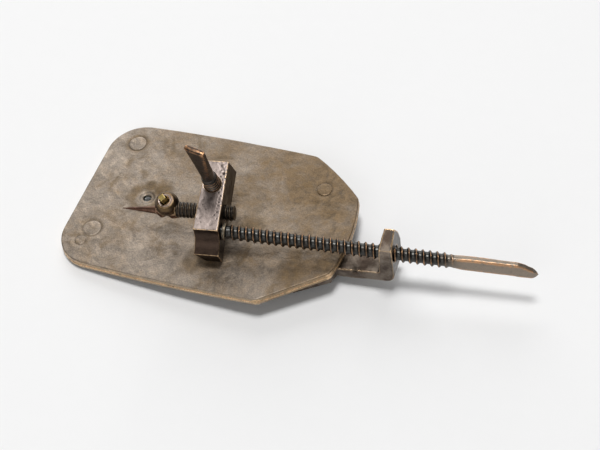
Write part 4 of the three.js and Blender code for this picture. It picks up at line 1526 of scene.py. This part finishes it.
class MICROSCOPE_OT_specimen_rod(bpy.types.Operator):
    """Make the threaded specimen rod and its ball head"""
    bl_idname = "microscope.specimen_rod"
    bl_label = "Specimen rod"

    def execute(self, context):
        make_specimen_rod(context)
        return {"FINISHED"}


class MICROSCOPE_OT_clamp_peg(bpy.types.Operator):
    """Make the square brass peg that clamps the needle"""
    bl_idname = "microscope.clamp_peg"
    bl_label = "Clamp peg"

    def execute(self, context):
        make_clamp_peg(context)
        return {"FINISHED"}


class MICROSCOPE_OT_needle(bpy.types.Operator):
    """Make the specimen needle and its butt"""
    bl_idname = "microscope.needle"
    bl_label = "Needle"

    def execute(self, context):
        make_needle(context)
        return {"FINISHED"}


class MICROSCOPE_OT_studio(bpy.types.Operator):
    """Set the camera, the lights and the floor"""
    bl_idname = "microscope.studio"
    bl_label = "Camera, lights and floor"

    def execute(self, context):
        make_camera(context.scene)
        make_studio(context)
        return {"FINISHED"}


OPERATORS = (
    MICROSCOPE_OT_studio,
    MICROSCOPE_OT_plates,
    MICROSCOPE_OT_lens,
    MICROSCOPE_OT_rivets,
    MICROSCOPE_OT_bracket,
    MICROSCOPE_OT_pivot_screw,
    MICROSCOPE_OT_long_screw,
    MICROSCOPE_OT_collar,
    MICROSCOPE_OT_stage_block,
    MICROSCOPE_OT_focus_screw,
    MICROSCOPE_OT_specimen_rod,
    MICROSCOPE_OT_clamp_peg,
    MICROSCOPE_OT_needle,
)


class MICROSCOPE_PT_pieces(bpy.types.Panel):
    """Lists the pieces and their sizes"""
    bl_label = "Microscope"
    bl_idname = "MICROSCOPE_PT_pieces"
    bl_space_type = "VIEW_3D"
    bl_region_type = "UI"
    bl_category = "Microscope"

    def draw(self, context):
        layout = self.layout
        for operator in OPERATORS:
            layout.operator(operator.bl_idname)
        for pointer in POINTERS:
            group = getattr(context.scene, pointer)
            box = layout.box()
            for key in group.bl_rna.properties.keys():
                if key not in ("name", "rna_type"):
                    box.prop(group, key)


def register():
    for cls in (*POINTERS.values(), *OPERATORS, MICROSCOPE_PT_pieces):
        bpy.utils.register_class(cls)
    for pointer, group in POINTERS.items():
        setattr(bpy.types.Scene, pointer, PointerProperty(type=group))


def unregister():
    for pointer in POINTERS:
        delattr(bpy.types.Scene, pointer)
    for cls in reversed((*POINTERS.values(), *OPERATORS, MICROSCOPE_PT_pieces)):
        bpy.utils.unregister_class(cls)


def main():
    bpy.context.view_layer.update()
    register()
    for operator in OPERATORS:
        group, name = operator.bl_idname.split(".")
        getattr(getattr(bpy.ops, group), name)()


if __name__ == "__main__":
    main()
